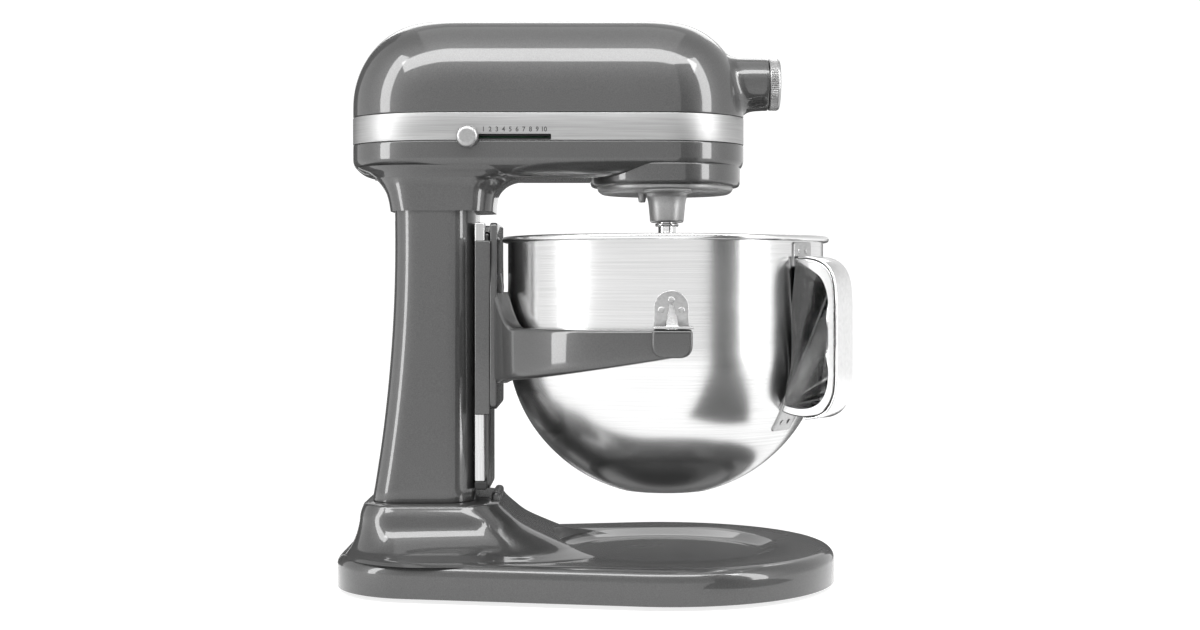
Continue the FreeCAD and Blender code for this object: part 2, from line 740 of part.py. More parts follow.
def spring_washer():
    """Washer under the boss that presses a beater down."""
    node("spring_washer", tube(8.6, S.shaft_radius - S.shaft_relief, 2.4, 0, 0, S.boss_bottom - 2.9),
         0, -S.planet_offset)


def agitator_pinion():
    """Planet pinion on top of the agitator shaft."""
    gear = spur_gear(S.planet_teeth.number, S.ring_module.number, 7, S.disc_top.number + 2,
                     -math.pi / 2)
    node("agitator_pinion", cut(shaped(gear), rod(5, 40, 0, 0, S.disc_top - 10)),
         0, -S.planet_offset)


# Gear train above the floor

def gearcase():
    """Bracket with three walls for the drive shaft, the motor's nose and the hub shaft."""
    floor = slab(-72, 40, 28, S.head_inner_floor + 5, S.head_inner_floor + 9)
    feet = [slab(x, x + 8, 26, S.head_inner_floor, S.head_inner_floor + 5.5) for x in (-72, -42, 32)]
    walls = [slab(x, x + 6, half, S.head_inner_floor + 8, S.hub_height + 12)
             for x, half in ((-72, 28), (-42, 28), (34, 18))]
    shafts = rod(9, 150, -90, 0, S.hub_height, TO_FRONT)
    nose = rod(5, 30, -90, 0, S.motor_height, TO_FRONT)
    well = rod(13, 30, 0, 0, S.head_inner_floor)
    node("gearcase", cut(fuse(floor, *feet, *walls), shafts, nose, well))


def drive_shaft():
    """Shaft with the small bevel pinion that turns the centre gear."""
    shaft = turned_x([(-74, 0), (-74, 6), (-14, 6), (-14, 0)])
    node("drive_shaft", shaft, 0, 0, S.hub_height)


def drive_bevel_pinion():
    teeth = bevel_gear(S.bevel_pinion_teeth.number, S.bevel_wheel_teeth.number,
                       S.bevel_module.number, math.pi)
    heel = S.bevel_wheel_teeth * S.bevel_module / 2
    gear = cut(fuse(shaped(teeth), rod(10, 6, 0, 0, -heel - 6)), rod(6, 60, 0, 0, -50))
    node("drive_bevel_pinion", gear, 0, 0, S.hub_height, TO_FRONT)


def drive_gear():
    """Spur gear that the motor's pinion turns."""
    teeth = S.drive_teeth.number
    gear = spur_gear(teeth, S.spur_module.number, 10, -60, math.pi / teeth)
    node("drive_gear", cut(shaped(gear), rod(6, 40, 0, 0, -80)), 0, 0, S.hub_height, TO_FRONT)


def drive_bearings():
    """Two bushes in the gearcase for the drive shaft."""
    node("drive_bearings", group(*[tube(9, 6 + S.running_gap, 6, x, 0, S.hub_height, TO_FRONT)
                                   for x in (-72, -42)]))


def hub_drive_shaft():
    """Shaft behind the attachment hub, with its bevel gear and square socket."""
    teeth = bevel_gear(S.bevel_pinion_teeth.number, S.bevel_wheel_teeth.number,
                       S.bevel_module.number)
    heel = S.bevel_wheel_teeth * S.bevel_module / 2
    teeth.rotate(V(0, 0, 0), Y_AXIS, 180)
    body = fuse(shaped(teeth), rod(6, 38, 0, 0, heel - 10), rod(11, 14, 0, 0, 46))
    socket = box(-4.8, 4.8, -4.8, 4.8, 47, 70)
    node("hub_drive_shaft", cut(body, socket), 0, 0, S.hub_height, TO_FRONT)


def hub_bearing():
    node("hub_bearing", tube(9, 6 + S.running_gap, 6, 34, 0, S.hub_height, TO_FRONT))


def hub_sleeve():
    """Steel sleeve that an attachment's shank slides into."""
    sleeve = tube(S.hub_sleeve_outer, S.hub_sleeve_inner, S.hub_neck_end - 45, 45, 0,
                  S.hub_height, TO_FRONT)
    node("hub_sleeve", cut(sleeve, rod(3.1, 40, 64, 0, S.hub_height, TO_FAR_SIDE)))


def hub_cap():
    """Round cap over the attachment hub."""
    cap = turned_x([(S.hub_neck_end + 0.4, 0), (S.hub_neck_end + 0.4, S.hub_neck_radius - 1),
                    (S.hub_neck_end + 1.4, S.hub_neck_radius - 0.2),
                    (S.hub_cap_end - 1.5, S.hub_neck_radius - 0.2),
                    (S.hub_cap_end, S.hub_neck_radius - 2), (S.hub_cap_end, 0)])
    node("hub_cap", cap, 0, 0, S.hub_height)


def hub_thumb_screw():
    """Screw with a round grip on the far side that clamps an attachment."""
    screw = turned_y([(S.hub_sleeve_inner + 0.8, 0), (S.hub_sleeve_inner + 0.8, 3), (24, 3),
                      (24, 9), (25.2, 10.5), (34, 10.5), (35.5, 9), (35.5, 0)])
    node("hub_thumb_screw", screw, 64, 0, S.hub_height)


# Motor

def motor_stator():
    """Laminated ring with its windings, standing on the head's floor."""
    length = S.motor_rear - S.motor_front - 24
    ring_core = tube(S.motor_radius, 20.5, length, -S.motor_rear + 12, 0, S.motor_height, TO_FRONT)
    foot = cut(slab(-S.motor_rear + 20, -S.motor_front - 20, 24, S.head_inner_floor, S.motor_height - 20),
               rod(30, 120, -S.motor_rear, 0, S.motor_height, TO_FRONT))
    windings = [tube(30, 22, 7, x, 0, S.motor_height, TO_FRONT)
                for x in (-S.motor_rear + 5, -S.motor_front - 12)]
    node("motor_stator", fuse(ring_core, foot, *windings))


def motor_end_brackets():
    """Two end plates that hold the rotor's bearings."""
    plates = []
    for x in (-S.motor_rear - 1, -S.motor_front):
        end = fuse(rod(S.motor_radius - 1, 4, x, 0, S.motor_height, TO_FRONT),
                   slab(x, x + 4, 18, S.head_inner_floor, S.motor_height))
        plates.append(cut(end, rod(8, 30, x - 10, 0, S.motor_height, TO_FRONT)))
    node("motor_end_brackets", group(*plates))


def motor_bearings():
    node("motor_bearings", group(*[
        tube(8, 3 + S.running_gap, 4, x, 0, S.motor_height, TO_FRONT)
        for x in (-S.motor_rear - 1, -S.motor_front)]))


def motor_rotor():
    """Rotor core, commutator and shaft."""
    rotor = turned_x([(-S.motor_rear - 22, 0), (-S.motor_rear - 22, 3), (-S.motor_rear + 8, 3),
                      (-S.motor_rear + 8, 19.5), (-S.motor_front - 24, 19.5),
                      (-S.motor_front - 24, 11), (-S.motor_front - 8, 11), (-S.motor_front - 8, 3),
                      (-48, 3), (-48, 0)])
    node("motor_rotor", rotor, 0, 0, S.motor_height)


def motor_pinion():
    gear = spur_gear(S.motor_teeth.number, S.spur_module.number, 10, -60, math.pi)
    node("motor_pinion", cut(shaped(gear), rod(3, 40, 0, 0, -80)), 0, 0, S.motor_height, TO_FRONT)


def cooling_fan():
    """Fan on the rear of the rotor's shaft."""
    hub = rod(8, 12, 0, 0, 0)
    blades = []
    for blade in range(8):
        vane = DOC.addObject("Part::Box", "Vane")
        bind(vane, Length=20, Width=1.6, Height=10)
        put(vane, 7 * math.cos(math.radians(45 * blade)), 7 * math.sin(math.radians(45 * blade)), 1,
            FreeCAD.Rotation(Z_AXIS, 45 * blade))
        blades.append(vane)
    fan = cut(fuse(hub, *blades), rod(3, 40, 0, 0, -10))
    node("cooling_fan", fan, -S.motor_rear - 18, 0, S.motor_height, TO_FRONT)


def brush_holders():
    """Two carbon brush holders beside the commutator."""
    x_low = -S.motor_front - 21
    holders = [box(x_low, x_low + 10, side * 11.3 if side > 0 else -19.3,
                   19.3 if side > 0 else -11.3, S.motor_height - 4, S.motor_height + 4)
               for side in (-1, 1)]
    node("brush_holders", group(*holders))


# Bowl

def bowl_solid(grow, top):
    """The bowl's filled form: straight wall above, half ellipse below, flat foot."""
    radius = S.bowl_radius.number + grow
    depth = S.bowl_depth.number + grow
    foot = S.bowl_foot_radius.number
    spring = S.bowl_round.number
    curve = Part.Ellipse(V(radius, 0, spring), V(0, 0, spring - depth), V(0, 0, spring))
    arc = Part.ArcOfEllipse(curve, 0, math.acos(foot / radius)).toShape()
    ends = sorted((vertex.Point for vertex in arc.Vertexes), key=lambda point: point.z)
    rim = V(radius, 0, top)
    profile = Part.Wire(Part.__sortEdges__([
        Part.LineSegment(V(0, 0, ends[0].z), ends[0]).toShape(), arc,
        Part.LineSegment(ends[1], rim).toShape(),
        Part.LineSegment(rim, V(0, 0, top)).toShape(),
        Part.LineSegment(V(0, 0, top), V(0, 0, ends[0].z)).toShape()]))
    return Part.Face(profile).revolve(V(0, 0, 0), Z_AXIS, 360)


def bowl_shell():
    """Steel bowl with a rolled rim."""
    rim = S.bowl_rim.number
    wall = shaped(bowl_solid(0, rim).cut(bowl_solid(-S.bowl_wall.number, rim + 1)))
    bead = cut(ring(S.bowl_radius + 2, S.bead_radius, 0, 0, S.bowl_rim),
               rod(S.bowl_radius - 0.2, 20, 0, 0, S.bowl_rim - 10))
    node("bowl_shell", fuse(wall, bead))


def wall_plate(x_low, x_high, half_width, z_low, z_high, thickness=1.4):
    """A sheet that lies on the bowl's wall within a box, by the bowl's own radius."""
    rim = S.bowl_rim.number
    sheet = bowl_solid(thickness, rim).cut(bowl_solid(0, rim + 1))
    block = Part.makeBox(x_high - x_low, 2 * half_width, z_high - z_low,
                         V(x_low, -half_width, z_low))
    return shaped(sheet.common(block))


def bowl_side_brackets():
    """Welded brackets at each side that drop over the locating pins."""
    brackets = []
    seat = S.arm_top + 0.9
    for side in (-1, 1):
        low, high = sorted((side * 118.3, side * 136.0))
        wall = wall_plate(100, 125, 12, 193, 219)
        wall.Placement = FreeCAD.Placement(V(0, 0, 0), FreeCAD.Rotation(Z_AXIS, 90 * side))
        flange = box(-13, 14.5, low, high, seat, seat + 1.6)
        gusset = plate([(side * 118.6, seat + 1), (side * 133, seat + 1), (side * 119.2, 209)],
                       9, "YZ_Plane", True)
        hole = rod(4.4, 10, 0, side * 127.5, seat - 4)
        brackets.append(cut(fuse(wall, flange, gusset), hole))
    node("bowl_side_brackets", group(*brackets))


def bowl_back_pin():
    """Button on the bowl's back that snaps behind the latch spring."""
    node("bowl_back_pin", rod(3, 2.6, -S.bowl_radius - 2.6, 0, 212, TO_FRONT))


def handle_plates():
    """Two plates spot-welded to the bowl that carry the handle."""
    upper = wall_plate(100, 125, 12, 235, 253)
    lower = wall_plate(90, 125, 12, 118, 139)
    node("handle_plates", group(upper, lower), turn=FreeCAD.Rotation(Z_AXIS, S.handle_angle.number))


def bowl_handle():
    """Ribbon handle with a finger-grip inner edge."""
    reach = S.handle_reach - 2.2
    grip = [(119.8, 241.5), (136, 240.5), (145, 236), (reach - 1.5, 226), (reach, 213), (reach, 158),
            (reach - 1.5, 145), (144.5, 135.5), (136, 130.8), (124, 129.6), (111, 131.5),
            (113.2, 138.6), (125, 136.6), (134, 137.6), (140.5, 142.5), (143.8, 150), (145, 165),
            (143.2, 180), (145, 195), (143.6, 210), (142.5, 220), (138, 228), (131, 232.8),
            (119.8, 234)]
    body = plate(grip, S.handle_width, "XZ_Plane", True)
    node("bowl_handle", body, turn=FreeCAD.Rotation(Z_AXIS, S.handle_angle.number))


def handle_strip():
    """Flat strip along the outside of the grip."""
    reach = S.handle_reach
    strip = box(reach - 1.9, reach, -S.handle_width / 2 + 1, S.handle_width / 2 - 1, 150, 220)
    node("handle_strip", group(strip), turn=FreeCAD.Rotation(Z_AXIS, S.handle_angle.number))


# Bowl support and its lift

def bowl_support():
    """Yoke that slides on the rails, with an arm and a cup on each side of the bowl."""
    plate_block = slab(-S.plate_back, -S.plate_front, S.slider_half_width, S.plate_bottom,
                       S.plate_top)
    flanges = []
    for side in (-1, 1):
        low, high = sorted((side * S.slider_half_width.number, side * (S.rail_centre.number + 5.6)))
        flanges.append(box(-S.rail_back + 0.5, -S.plate_back + 0.1, low, high,
                           S.plate_bottom - 2, 255))
    arm_ring = tube(S.arm_outer, S.arm_inner, S.arm_top - S.arm_root_bottom, 0, 0,
                    S.arm_root_bottom)
    arms = common(arm_ring, slab(-S.plate_back, 1, 150, 100, 300))
    wedge = plate([(-112, 140), (-112, S.arm_root_bottom), (14, S.arm_tip_bottom + 2), (14, 140)],
                  300, "XZ_Plane", True)
    arms = cut(arms, wedge)
    cups = []
    for side in (-1, 1):
        barrel = rod(14, 16, 0, 119.6 if side > 0 else -135.6, S.arm_tip_bottom + 14, TO_FAR_SIDE)
        cups.append(common(barrel, slab(-20, 20, 150, 160, S.arm_top + 0.5)))
    lug_height = S.lift_shaft_z + S.lift_travel / 2
    lug = slab(-194, -S.plate_back + 0.1, 5, lug_height - 11, lug_height + 11)
    slot = slab(-200, -172, 6, lug_height - 6.6, lug_height + 6.6)
    clearance = rod(S.arm_inner - 1.4, 200, 0, 0, 100)
    pins = [rod(4, 20, 0, side * 127.5, S.arm_top - 8) for side in (-1, 1)]
    yoke = cut(fuse(plate_block, *flanges, arms, *cups, lug), slot, clearance, *pins)
    node("bowl_support", yoke)


def locating_pins():
    """Pins on the cups that centre the bowl's brackets."""
    node("locating_pins", group(*[
        fuse(rod(4, 11, 0, side * 127.5, S.arm_top - 8),
             taper(4, 2.8, 1.6, 0, side * 127.5, S.arm_top + 3)) for side in (-1, 1)]))


def slider_pads():
    """Low-friction pads between the yoke and the rails."""
    pads = []
    for z in (S.plate_bottom + 6, 225):
        for side in (-1, 1):
            low, high = sorted((side * (S.rail_centre.number - 4), side * (S.rail_centre.number + 4)))
            pads.append(box(-S.rail_front + 0.3, -S.plate_back, low, high, z, as_size(z) + 24))
    node("slider_pads", group(*pads))


def bowl_latch_spring():
    """Leaf spring on the yoke that holds the bowl's back button."""
    leaf = plate([(-S.plate_front, 203), (-S.plate_front + 1, 203), (-S.plate_front + 2.4, 222),
                  (-S.plate_front + 0.8, 231), (-S.plate_front, 231), (-S.plate_front + 1.3, 222)],
                 14, "XZ_Plane", True)
    node("bowl_latch_spring", leaf)


def crank_pin_place():
    """Where the crank pin stands with the bowl raised, from the lift shaft."""
    return S.crank_radius * cosine(S.crank_angle), S.crank_radius * sine(S.crank_angle)


def lift_crank():
    """Arm on the lift shaft with a pin that reaches the yoke's slotted lug."""
    out, up = crank_pin_place()
    hub = rod(9.5, 6, 0, 6.2, 0, TO_FAR_SIDE)
    eye = rod(5.5, 6, out, 6.2, up, TO_FAR_SIDE)
    web = DOC.addObject("Part::Box", "Web")
    bind(web, Length=S.crank_radius, Width=6, Height=9)
    put(web, 4.5 * math.sin(math.radians(S.crank_angle.number)), 6.2,
        -4.5 * math.cos(math.radians(S.crank_angle.number)),
        FreeCAD.Rotation(Y_AXIS, -S.crank_angle.number))
    arm = cut(fuse(hub, eye, web), rod(S.lift_shaft_radius, 20, 0, 0, 0, TO_FAR_SIDE))
    node("lift_crank", fuse(arm, rod(3, 13, out, -5, up, TO_FAR_SIDE)),
         -S.lift_shaft_x, 0, S.lift_shaft_z)


def crank_roller():
    """Roller on the crank pin."""
    out, up = crank_pin_place()
    roller = tube(5, 3, 9, out, -4.5, up, TO_FAR_SIDE)
    node("crank_roller", roller, -S.lift_shaft_x, 0, S.lift_shaft_z)


def lift_shaft():
    shaft = rod(S.lift_shaft_radius, S.lever_side, 0, 6.2, 0, TO_FAR_SIDE)
    node("lift_shaft", shaft, -S.lift_shaft_x, 0, S.lift_shaft_z)


def lift_shaft_bush():
    inner = S.lift_shaft_radius + S.running_gap
    bush = turned_y([(23, inner), (23, 8), (46, 8), (46, 11), (48.5, 11), (48.5, inner)])
    node("lift_shaft_bush", bush, -S.lift_shaft_x, 0, S.lift_shaft_z)


def lift_lever():
    """Hand lever on the far side, upright while the bowl is raised."""
    side = S.lever_side
    arm = plate([(-8, 0), (-6.5, 60), (-5, S.lever_length - 8), (5, S.lever_length - 8), (6.5, 60),
                 (8, 0)], 6, "XZ_Plane", False)
    put(arm, 0, side + 6, 0)
    hub = rod(11, 8, 0, side - 2, 0, TO_FAR_SIDE)
    eye = rod(8, 6, 0, side, S.lever_length - 8, TO_FAR_SIDE)
    bore = rod(S.lift_shaft_radius, side + 6.2, 0, 0, 0, TO_FAR_SIDE)
    node("lift_lever", cut(fuse(arm, hub, eye), bore), -S.lift_shaft_x, 0, S.lift_shaft_z)


def lever_knob():
    """Round grip at the lever's end."""
    side = S.lever_side + 6
    grip = turned_y([(side, 0), (side, 5), (side + 3, 6), (side + 8, 9.5), (side + 18, 9.5),
                     (side + 22, 6), (side + 23, 0)])
    node("lever_knob", grip, -S.lift_shaft_x, 0, S.lift_shaft_z + S.lever_length - 8)


def lift_spring():
    """Torsion spring round the lift shaft that takes some of the bowl's weight."""
    wire = 1.4
    mean = S.lift_shaft_radius.number + 2.4
    helix = Part.makeHelix(2.2, 7.6, mean)
    profile = Part.Wire(Part.Circle(V(mean, 0, 0), Y_AXIS, wire / 2).toShape())
    coil = Part.Wire(helix.Edges).makePipeShell([profile], True, True)
    node("lift_spring", shaped(coil), -S.lift_shaft_x, 13.2, S.lift_shaft_z, TO_FAR_SIDE)


def build():
    """Makes every sub-part, from the table up."""
    for make in (base_casting, base_bottom_cover, base_feet, column, column_bolts, guide_rails,
                 rail_stops, head_lower_housing, head_top_cover, head_screws, trim_band,
                 speed_slot_insert, speed_knob, control_board, cord_gland, planetary_housing,
                 internal_ring_gear, centre_bearing, planetary_hub, centre_shaft,
                 centre_bevel_gear, agitator_shaft, agitator_pin, spring_washer, agitator_pinion,
                 gearcase, drive_shaft, drive_bevel_pinion, drive_gear, drive_bearings,
                 hub_drive_shaft, hub_bearing, hub_sleeve, hub_cap, hub_thumb_screw, motor_stator,
                 motor_end_brackets, motor_bearings, motor_rotor, motor_pinion, cooling_fan,
                 brush_holders, bowl_shell, bowl_side_brackets, bowl_back_pin, handle_plates,
                 bowl_handle, handle_strip, bowl_support, locating_pins, slider_pads,
                 bowl_latch_spring, lift_crank, crank_roller, lift_shaft, lift_shaft_bush,
                 lift_lever, lever_knob, lift_spring):
        make()
    DOC.recompute()


def faults():
    """Everything that failed, so that nothing is written from a broken document."""
    found = ["%s: %s" % (item.Label, item.State) for item in DOC.Objects
             if {"Invalid", "Error"} & set(item.State)]
    for item in NODES:
        if item.Shape.isNull() or not item.Shape.isValid() or not item.Shape.Solids:
            found.append("%s: bad shape" % item.Label)
    return found


build()
broken = faults()
if broken:
    raise SystemExit("\n".join(broken))
os.makedirs("parts", exist_ok=True)
for item in NODES:
    item.Shape.exportStep("parts/%s.step" % item.Label)
    print("%-24s %8.1f cm3" % (item.Label, item.Shape.Volume / 1000))
print(len(NODES), "nodes")
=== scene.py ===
import bmesh
import bpy
import json
import math
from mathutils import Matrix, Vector

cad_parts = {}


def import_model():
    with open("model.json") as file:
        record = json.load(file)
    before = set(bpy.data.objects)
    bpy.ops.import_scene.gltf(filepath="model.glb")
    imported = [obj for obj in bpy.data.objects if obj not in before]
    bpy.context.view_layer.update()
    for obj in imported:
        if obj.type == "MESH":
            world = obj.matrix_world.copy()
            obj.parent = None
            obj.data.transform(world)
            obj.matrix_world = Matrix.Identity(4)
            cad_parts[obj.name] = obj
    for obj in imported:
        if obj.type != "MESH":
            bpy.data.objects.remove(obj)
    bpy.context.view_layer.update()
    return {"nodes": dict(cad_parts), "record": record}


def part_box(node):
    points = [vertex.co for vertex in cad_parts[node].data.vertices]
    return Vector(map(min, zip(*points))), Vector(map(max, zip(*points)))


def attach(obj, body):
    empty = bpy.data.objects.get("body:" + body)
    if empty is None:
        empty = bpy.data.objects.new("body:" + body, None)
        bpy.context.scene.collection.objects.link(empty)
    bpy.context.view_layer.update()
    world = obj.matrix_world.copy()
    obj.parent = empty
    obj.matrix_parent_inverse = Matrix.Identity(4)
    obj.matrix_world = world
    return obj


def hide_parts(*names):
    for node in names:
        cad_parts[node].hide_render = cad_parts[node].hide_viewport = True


# Bowl-lift stand mixer: detailed surfaces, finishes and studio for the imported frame.
# Sizes are millimetres from the bowl's vertical axis, with the table at Z = 0. The bowl's
# end of the mixer faces +X, and the camera looks along +Y.

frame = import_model()

MM = 0.001
AXIS_X = sum(corner[0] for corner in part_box("bowl_shell")) / 2
TURN = 2 * math.pi
QUARTER = math.pi / 2
WELD = 0.002                # points nearer than this are one point
SHARP = math.radians(38)    # edges that bend more than this stay sharp


def corners(node):
    """A node's lowest and highest corners."""
    return [Vector((corner[0] - AXIS_X, corner[1], corner[2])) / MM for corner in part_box(node)]


# Sizes read from the frame
BASE_LOW = corners("base_casting")[0]
COLUMN_LOW, COLUMN_HIGH = corners("column")
CROWN_TOP = corners("head_top_cover")[1].z
BAND_LOW, BAND_HIGH = corners("trim_band")
SLEEVE_LOW, SLEEVE_HIGH = corners("hub_sleeve")
RAIL_LOW, RAIL_HIGH = corners("guide_rails")

# Base
DECK = 28.0
BASE_FRONT_RADIUS = 126.5
BASE_CORNER = 65.0
BASE_LEAN = math.radians(100)    # the sides' normal: a quarter turn and 10 degrees of taper
BASE_EDGE = 9.0
DISH_DEPTH = 5.0
DISH_FLOOR = 72.0
DISH_RADIUS = 84.0
FOOT_PLACES = ((92, 0), (35, 88), (35, -88), (-195, 58), (-195, -58))
# The pedestal's levels: height above the deck, back, front, half width and corner radius.
PEDESTAL = ((-2.2, 236, 34, 100, 66), (0.2, 234, 44, 96, 62), (2.2, 232.5, 57, 89, 55),
            (5, 230.5, 70, 81, 47), (12, 227.3, 88, 72, 38), (20, 225.2, 105, 66, 33),
            (28, 224.2, 115.5, 63.3, 30.5), (33, 222.6, 121, 60.6, 28.5),
            (35, 221.4, 122.6, 59.2, 27.4), (36, 219, 125, 56.8, 25))

# Column, rails and the lift lever's shaft
COLUMN_FRONT = -140.5
COLUMN_CORNER = 22.0
SLOT_HALF, SLOT_LOW, SLOT_HIGH, SLOT_BACK = 15.0, 154.0, 226.0, -196.5
RAIL_CENTRE, RAIL_HALF = 35.0, 5.0
PIVOT_X, PIVOT_Z = -165.0, 190.0

# Head: the ends' half-ellipses, and how far the plan draws in over the crown
REAR_ROUND, FRONT_ROUND = 75.0, 68.0
CROWN_SPRING = 355.0
CROWN_RISE = CROWN_TOP - CROWN_SPRING
REAR_DRAW, FRONT_DRAW, SIDE_DRAW = 57.0, 55.0, 43.0
REAR_ROUND_DRAW, FRONT_ROUND_DRAW = 50.0, 45.0
HOUSING_BOTTOM = 301.0
SLOT_LENGTH, SLOT_HEIGHT = 63.3, 4.3
NUMERAL_HEIGHT, NUMERAL_BOTTOM = 3.4, 333.2

# Hub neck and planetary drive
NECK_RADIUS, NECK_FLARE = 19.6, 25.5
DISC_LOW = 290.0
PLANET_OFFSET = -36.0

# Bowl, brackets and handle
BOWL_RADIUS = 118.0
BOWL_SPRING = 178.0
BOWL_DEPTH = 113.0
BOWL_FOOT = 34.0
BOWL_RIM = 256.0
BOWL_WALL = 1.2
PLATE_THICK = 1.4
BRACKET_HALF, BRACKET_ARCH = 12.0, 207.0
HANDLE_TURN = math.radians(-36.5)
HANDLE_HALF = 13.0

# Bowl support
YOKE_FRONT, YOKE_THICK, YOKE_HALF = -123.8, 5.4, 45.5
ARM_INNER, ARM_OUTER, ARM_TOP = 121.4, 133.6, 192.0
PIN_CENTRE, PIN_RADIUS = 127.5, 4.0


# Finishes

def link(tree, source, output, target, socket):
    tree.links.new(source.outputs[output], target.inputs[socket])


def ranged(tree, source, low, high, start=0.3, end=0.7):
    """Maps a noise value on to a range."""
    node = tree.nodes.new("ShaderNodeMapRange")
    node.inputs["From Min"].default_value = start
    node.inputs["From Max"].default_value = end
    node.inputs["To Min"].default_value = low
    node.inputs["To Max"].default_value = high
    link(tree, source, "Fac", node, "Value")
    return node


def grain_noise(tree, place, scale, detail=3.0):
    """Noise drawn out along the axes by its scale per metre."""
    mapping = tree.nodes.new("ShaderNodeMapping")
    mapping.inputs["Scale"].default_value = scale
    link(tree, place, "Object", mapping, "Vector")
    noise = tree.nodes.new("ShaderNodeTexNoise")
    noise.inputs["Scale"].default_value = 1.0
    noise.inputs["Detail"].default_value = detail
    link(tree, mapping, "Vector", noise, "Vector")
    return noise


def finish(name, dark, light, metallic, rough, grain, relief, cloud=14.0, **even):
    """A procedural finish: grain varies its tone and relief, and a slow cloud its roughness."""
    look = bpy.data.materials.new(name)
    look.use_nodes = True
    tree = look.node_tree
    shader = tree.nodes["Principled BSDF"]
    place = tree.nodes.new("ShaderNodeTexCoord")
    fine = grain_noise(tree, place, grain)
    slow = grain_noise(tree, place, (cloud, cloud, cloud), 2.0)
    tone = tree.nodes.new("ShaderNodeMix")
    tone.data_type = "RGBA"
    tone.inputs["A"].default_value = (*dark, 1)
    tone.inputs["B"].default_value = (*light, 1)
    mixing = ranged(tree, fine, 0.0, 1.0)
    link(tree, mixing, "Result", tone, "Factor")
    tree.links.new(tone.outputs["Result"], shader.inputs["Base Color"])
    link(tree, ranged(tree, slow, *rough), "Result", shader, "Roughness")
    bump = tree.nodes.new("ShaderNodeBump")
    bump.inputs["Strength"].default_value = 1.0
    bump.inputs["Distance"].default_value = relief * MM
    link(tree, fine, "Fac", bump, "Height")
    link(tree, bump, "Normal", shader, "Normal")
    shader.inputs["Metallic"].default_value = metallic
    for socket, value in even.items():
        shader.inputs[socket.replace("_", " ")].default_value = value
    return look


def grey(value):
    return (value, value, value)


FLAKE = (1400, 1400, 1400)
ALONG_BAND = (25, 25, 2600)
ROUND_BOWL = (12, 12, 1700)
EVEN_GRAIN = (900, 900, 900)
TURNED = (60, 60, 1500)
LOOKS = {
    "body_paint": finish("graphite_paint", grey(0.042), grey(0.067), 0.5, (0.36, 0.44), FLAKE,
                         0.004, Coat_Weight=1.0, Coat_Roughness=0.05, Coat_IOR=1.55),
    "brushed_trim": finish("brushed_band", grey(0.33), grey(0.43), 1.0, (0.40, 0.48),
                           ALONG_BAND, 0.012),
    "rubber": finish("foot_rubber", grey(0.02), grey(0.035), 0.0, (0.7, 0.85), EVEN_GRAIN, 0.05),
    "zinc_sheet": finish("zinc_sheet", grey(0.38), grey(0.5), 1.0, (0.35, 0.5),
                         (70, 70, 70), 0.02),
    "bolt_steel": finish("bolt_steel", grey(0.36), grey(0.46), 1.0, (0.3, 0.4), TURNED, 0.01),
    "black_plastic": finish("black_plastic", grey(0.012), grey(0.022), 0.0, (0.42, 0.55),
                            EVEN_GRAIN, 0.03),
    "silver_knob": finish("satin_silver", grey(0.33), grey(0.40), 1.0, (0.36, 0.46),
                          EVEN_GRAIN, 0.006),
    "silver_paint": finish("silver_paint", grey(0.30), grey(0.37), 0.75, (0.38, 0.48), FLAKE,
                           0.006, Coat_Weight=0.4, Coat_Roughness=0.2),
    "chrome": finish("chrome", grey(0.70), grey(0.76), 1.0, (0.06, 0.1), TURNED, 0.002),
    "machined_steel": finish("machined_steel", grey(0.42), grey(0.56), 1.0, (0.22, 0.32),
                             TURNED, 0.01),
    "gear_steel": finish("gear_steel", grey(0.32), grey(0.42), 1.0, (0.3, 0.45), TURNED, 0.01),
    "bearing_bronze": finish("bearing_bronze", (0.45, 0.3, 0.13), (0.56, 0.4, 0.2), 1.0,
                             (0.35, 0.45), EVEN_GRAIN, 0.02),
    "raw_aluminium": finish("cast_aluminium", grey(0.42), grey(0.55), 1.0, (0.45, 0.6),
                            (500, 500, 500), 0.06),
    "lamination": finish("lamination", grey(0.16), grey(0.3), 1.0, (0.4, 0.5),
                         (2000, 20, 20), 0.05),
    "circuit_board": finish("circuit_board", (0.01, 0.1, 0.035), (0.02, 0.16, 0.06), 0.0,
                            (0.3, 0.4), EVEN_GRAIN, 0.02),
    "bowl_steel": finish("brushed_bowl", grey(0.66), grey(0.77), 1.0, (0.19, 0.25), ROUND_BOWL,
                         0.009),
    "handle_steel": finish("polished_handle", grey(0.78), grey(0.84), 1.0, (0.14, 0.2),
                           (300, 300, 300), 0.001),
    # Near-black painted shade for the insides of gaps, slots and grooves
    "dark_gap": finish("dark_gap", grey(0.006), grey(0.01), 0.0, (0.6, 0.8), EVEN_GRAIN, 0.01),
    "card": finish("dark_card", grey(0.05), grey(0.07), 0.0, (0.8, 0.9), (20, 20, 20), 0.0),
    "numeral_ink": finish("numeral_ink", grey(0.03), grey(0.045), 0.0, (0.45, 0.55),
                          EVEN_GRAIN, 0.004),
    "rail_steel": finish("rail_steel", grey(0.50), grey(0.64), 1.0, (0.24, 0.32),
                         (1500, 1500, 20), 0.01),
    "bracket_steel": finish("bracket_steel", grey(0.40), grey(0.50), 1.0, (0.24, 0.32),
                            (500, 500, 900), 0.006),
}


# Making pieces

def placed(name, data):
    """A new object in the scene."""
    made = bpy.data.objects.new(name, data)
    bpy.context.scene.collection.objects.link(made)
    return made


def solid_mesh(name, points, faces, weld=True):
    """A mesh in metres from points in millimetres, with its faces turned outwards."""
    mesh = bpy.data.meshes.new(name)
    mesh.from_pydata([(x * MM + AXIS_X, y * MM, z * MM) for x, y, z in points], [], faces)
    shape = bmesh.new()
    shape.from_mesh(mesh)
    if weld:
        bmesh.ops.remove_doubles(shape, verts=shape.verts, dist=WELD * MM)
    bmesh.ops.recalc_face_normals(shape, faces=shape.faces)
    shape.to_mesh(mesh)
    shape.free()
    return mesh


def shade(mesh):
    mesh.shade_smooth()
    mesh.set_sharp_from_angle(angle=SHARP)


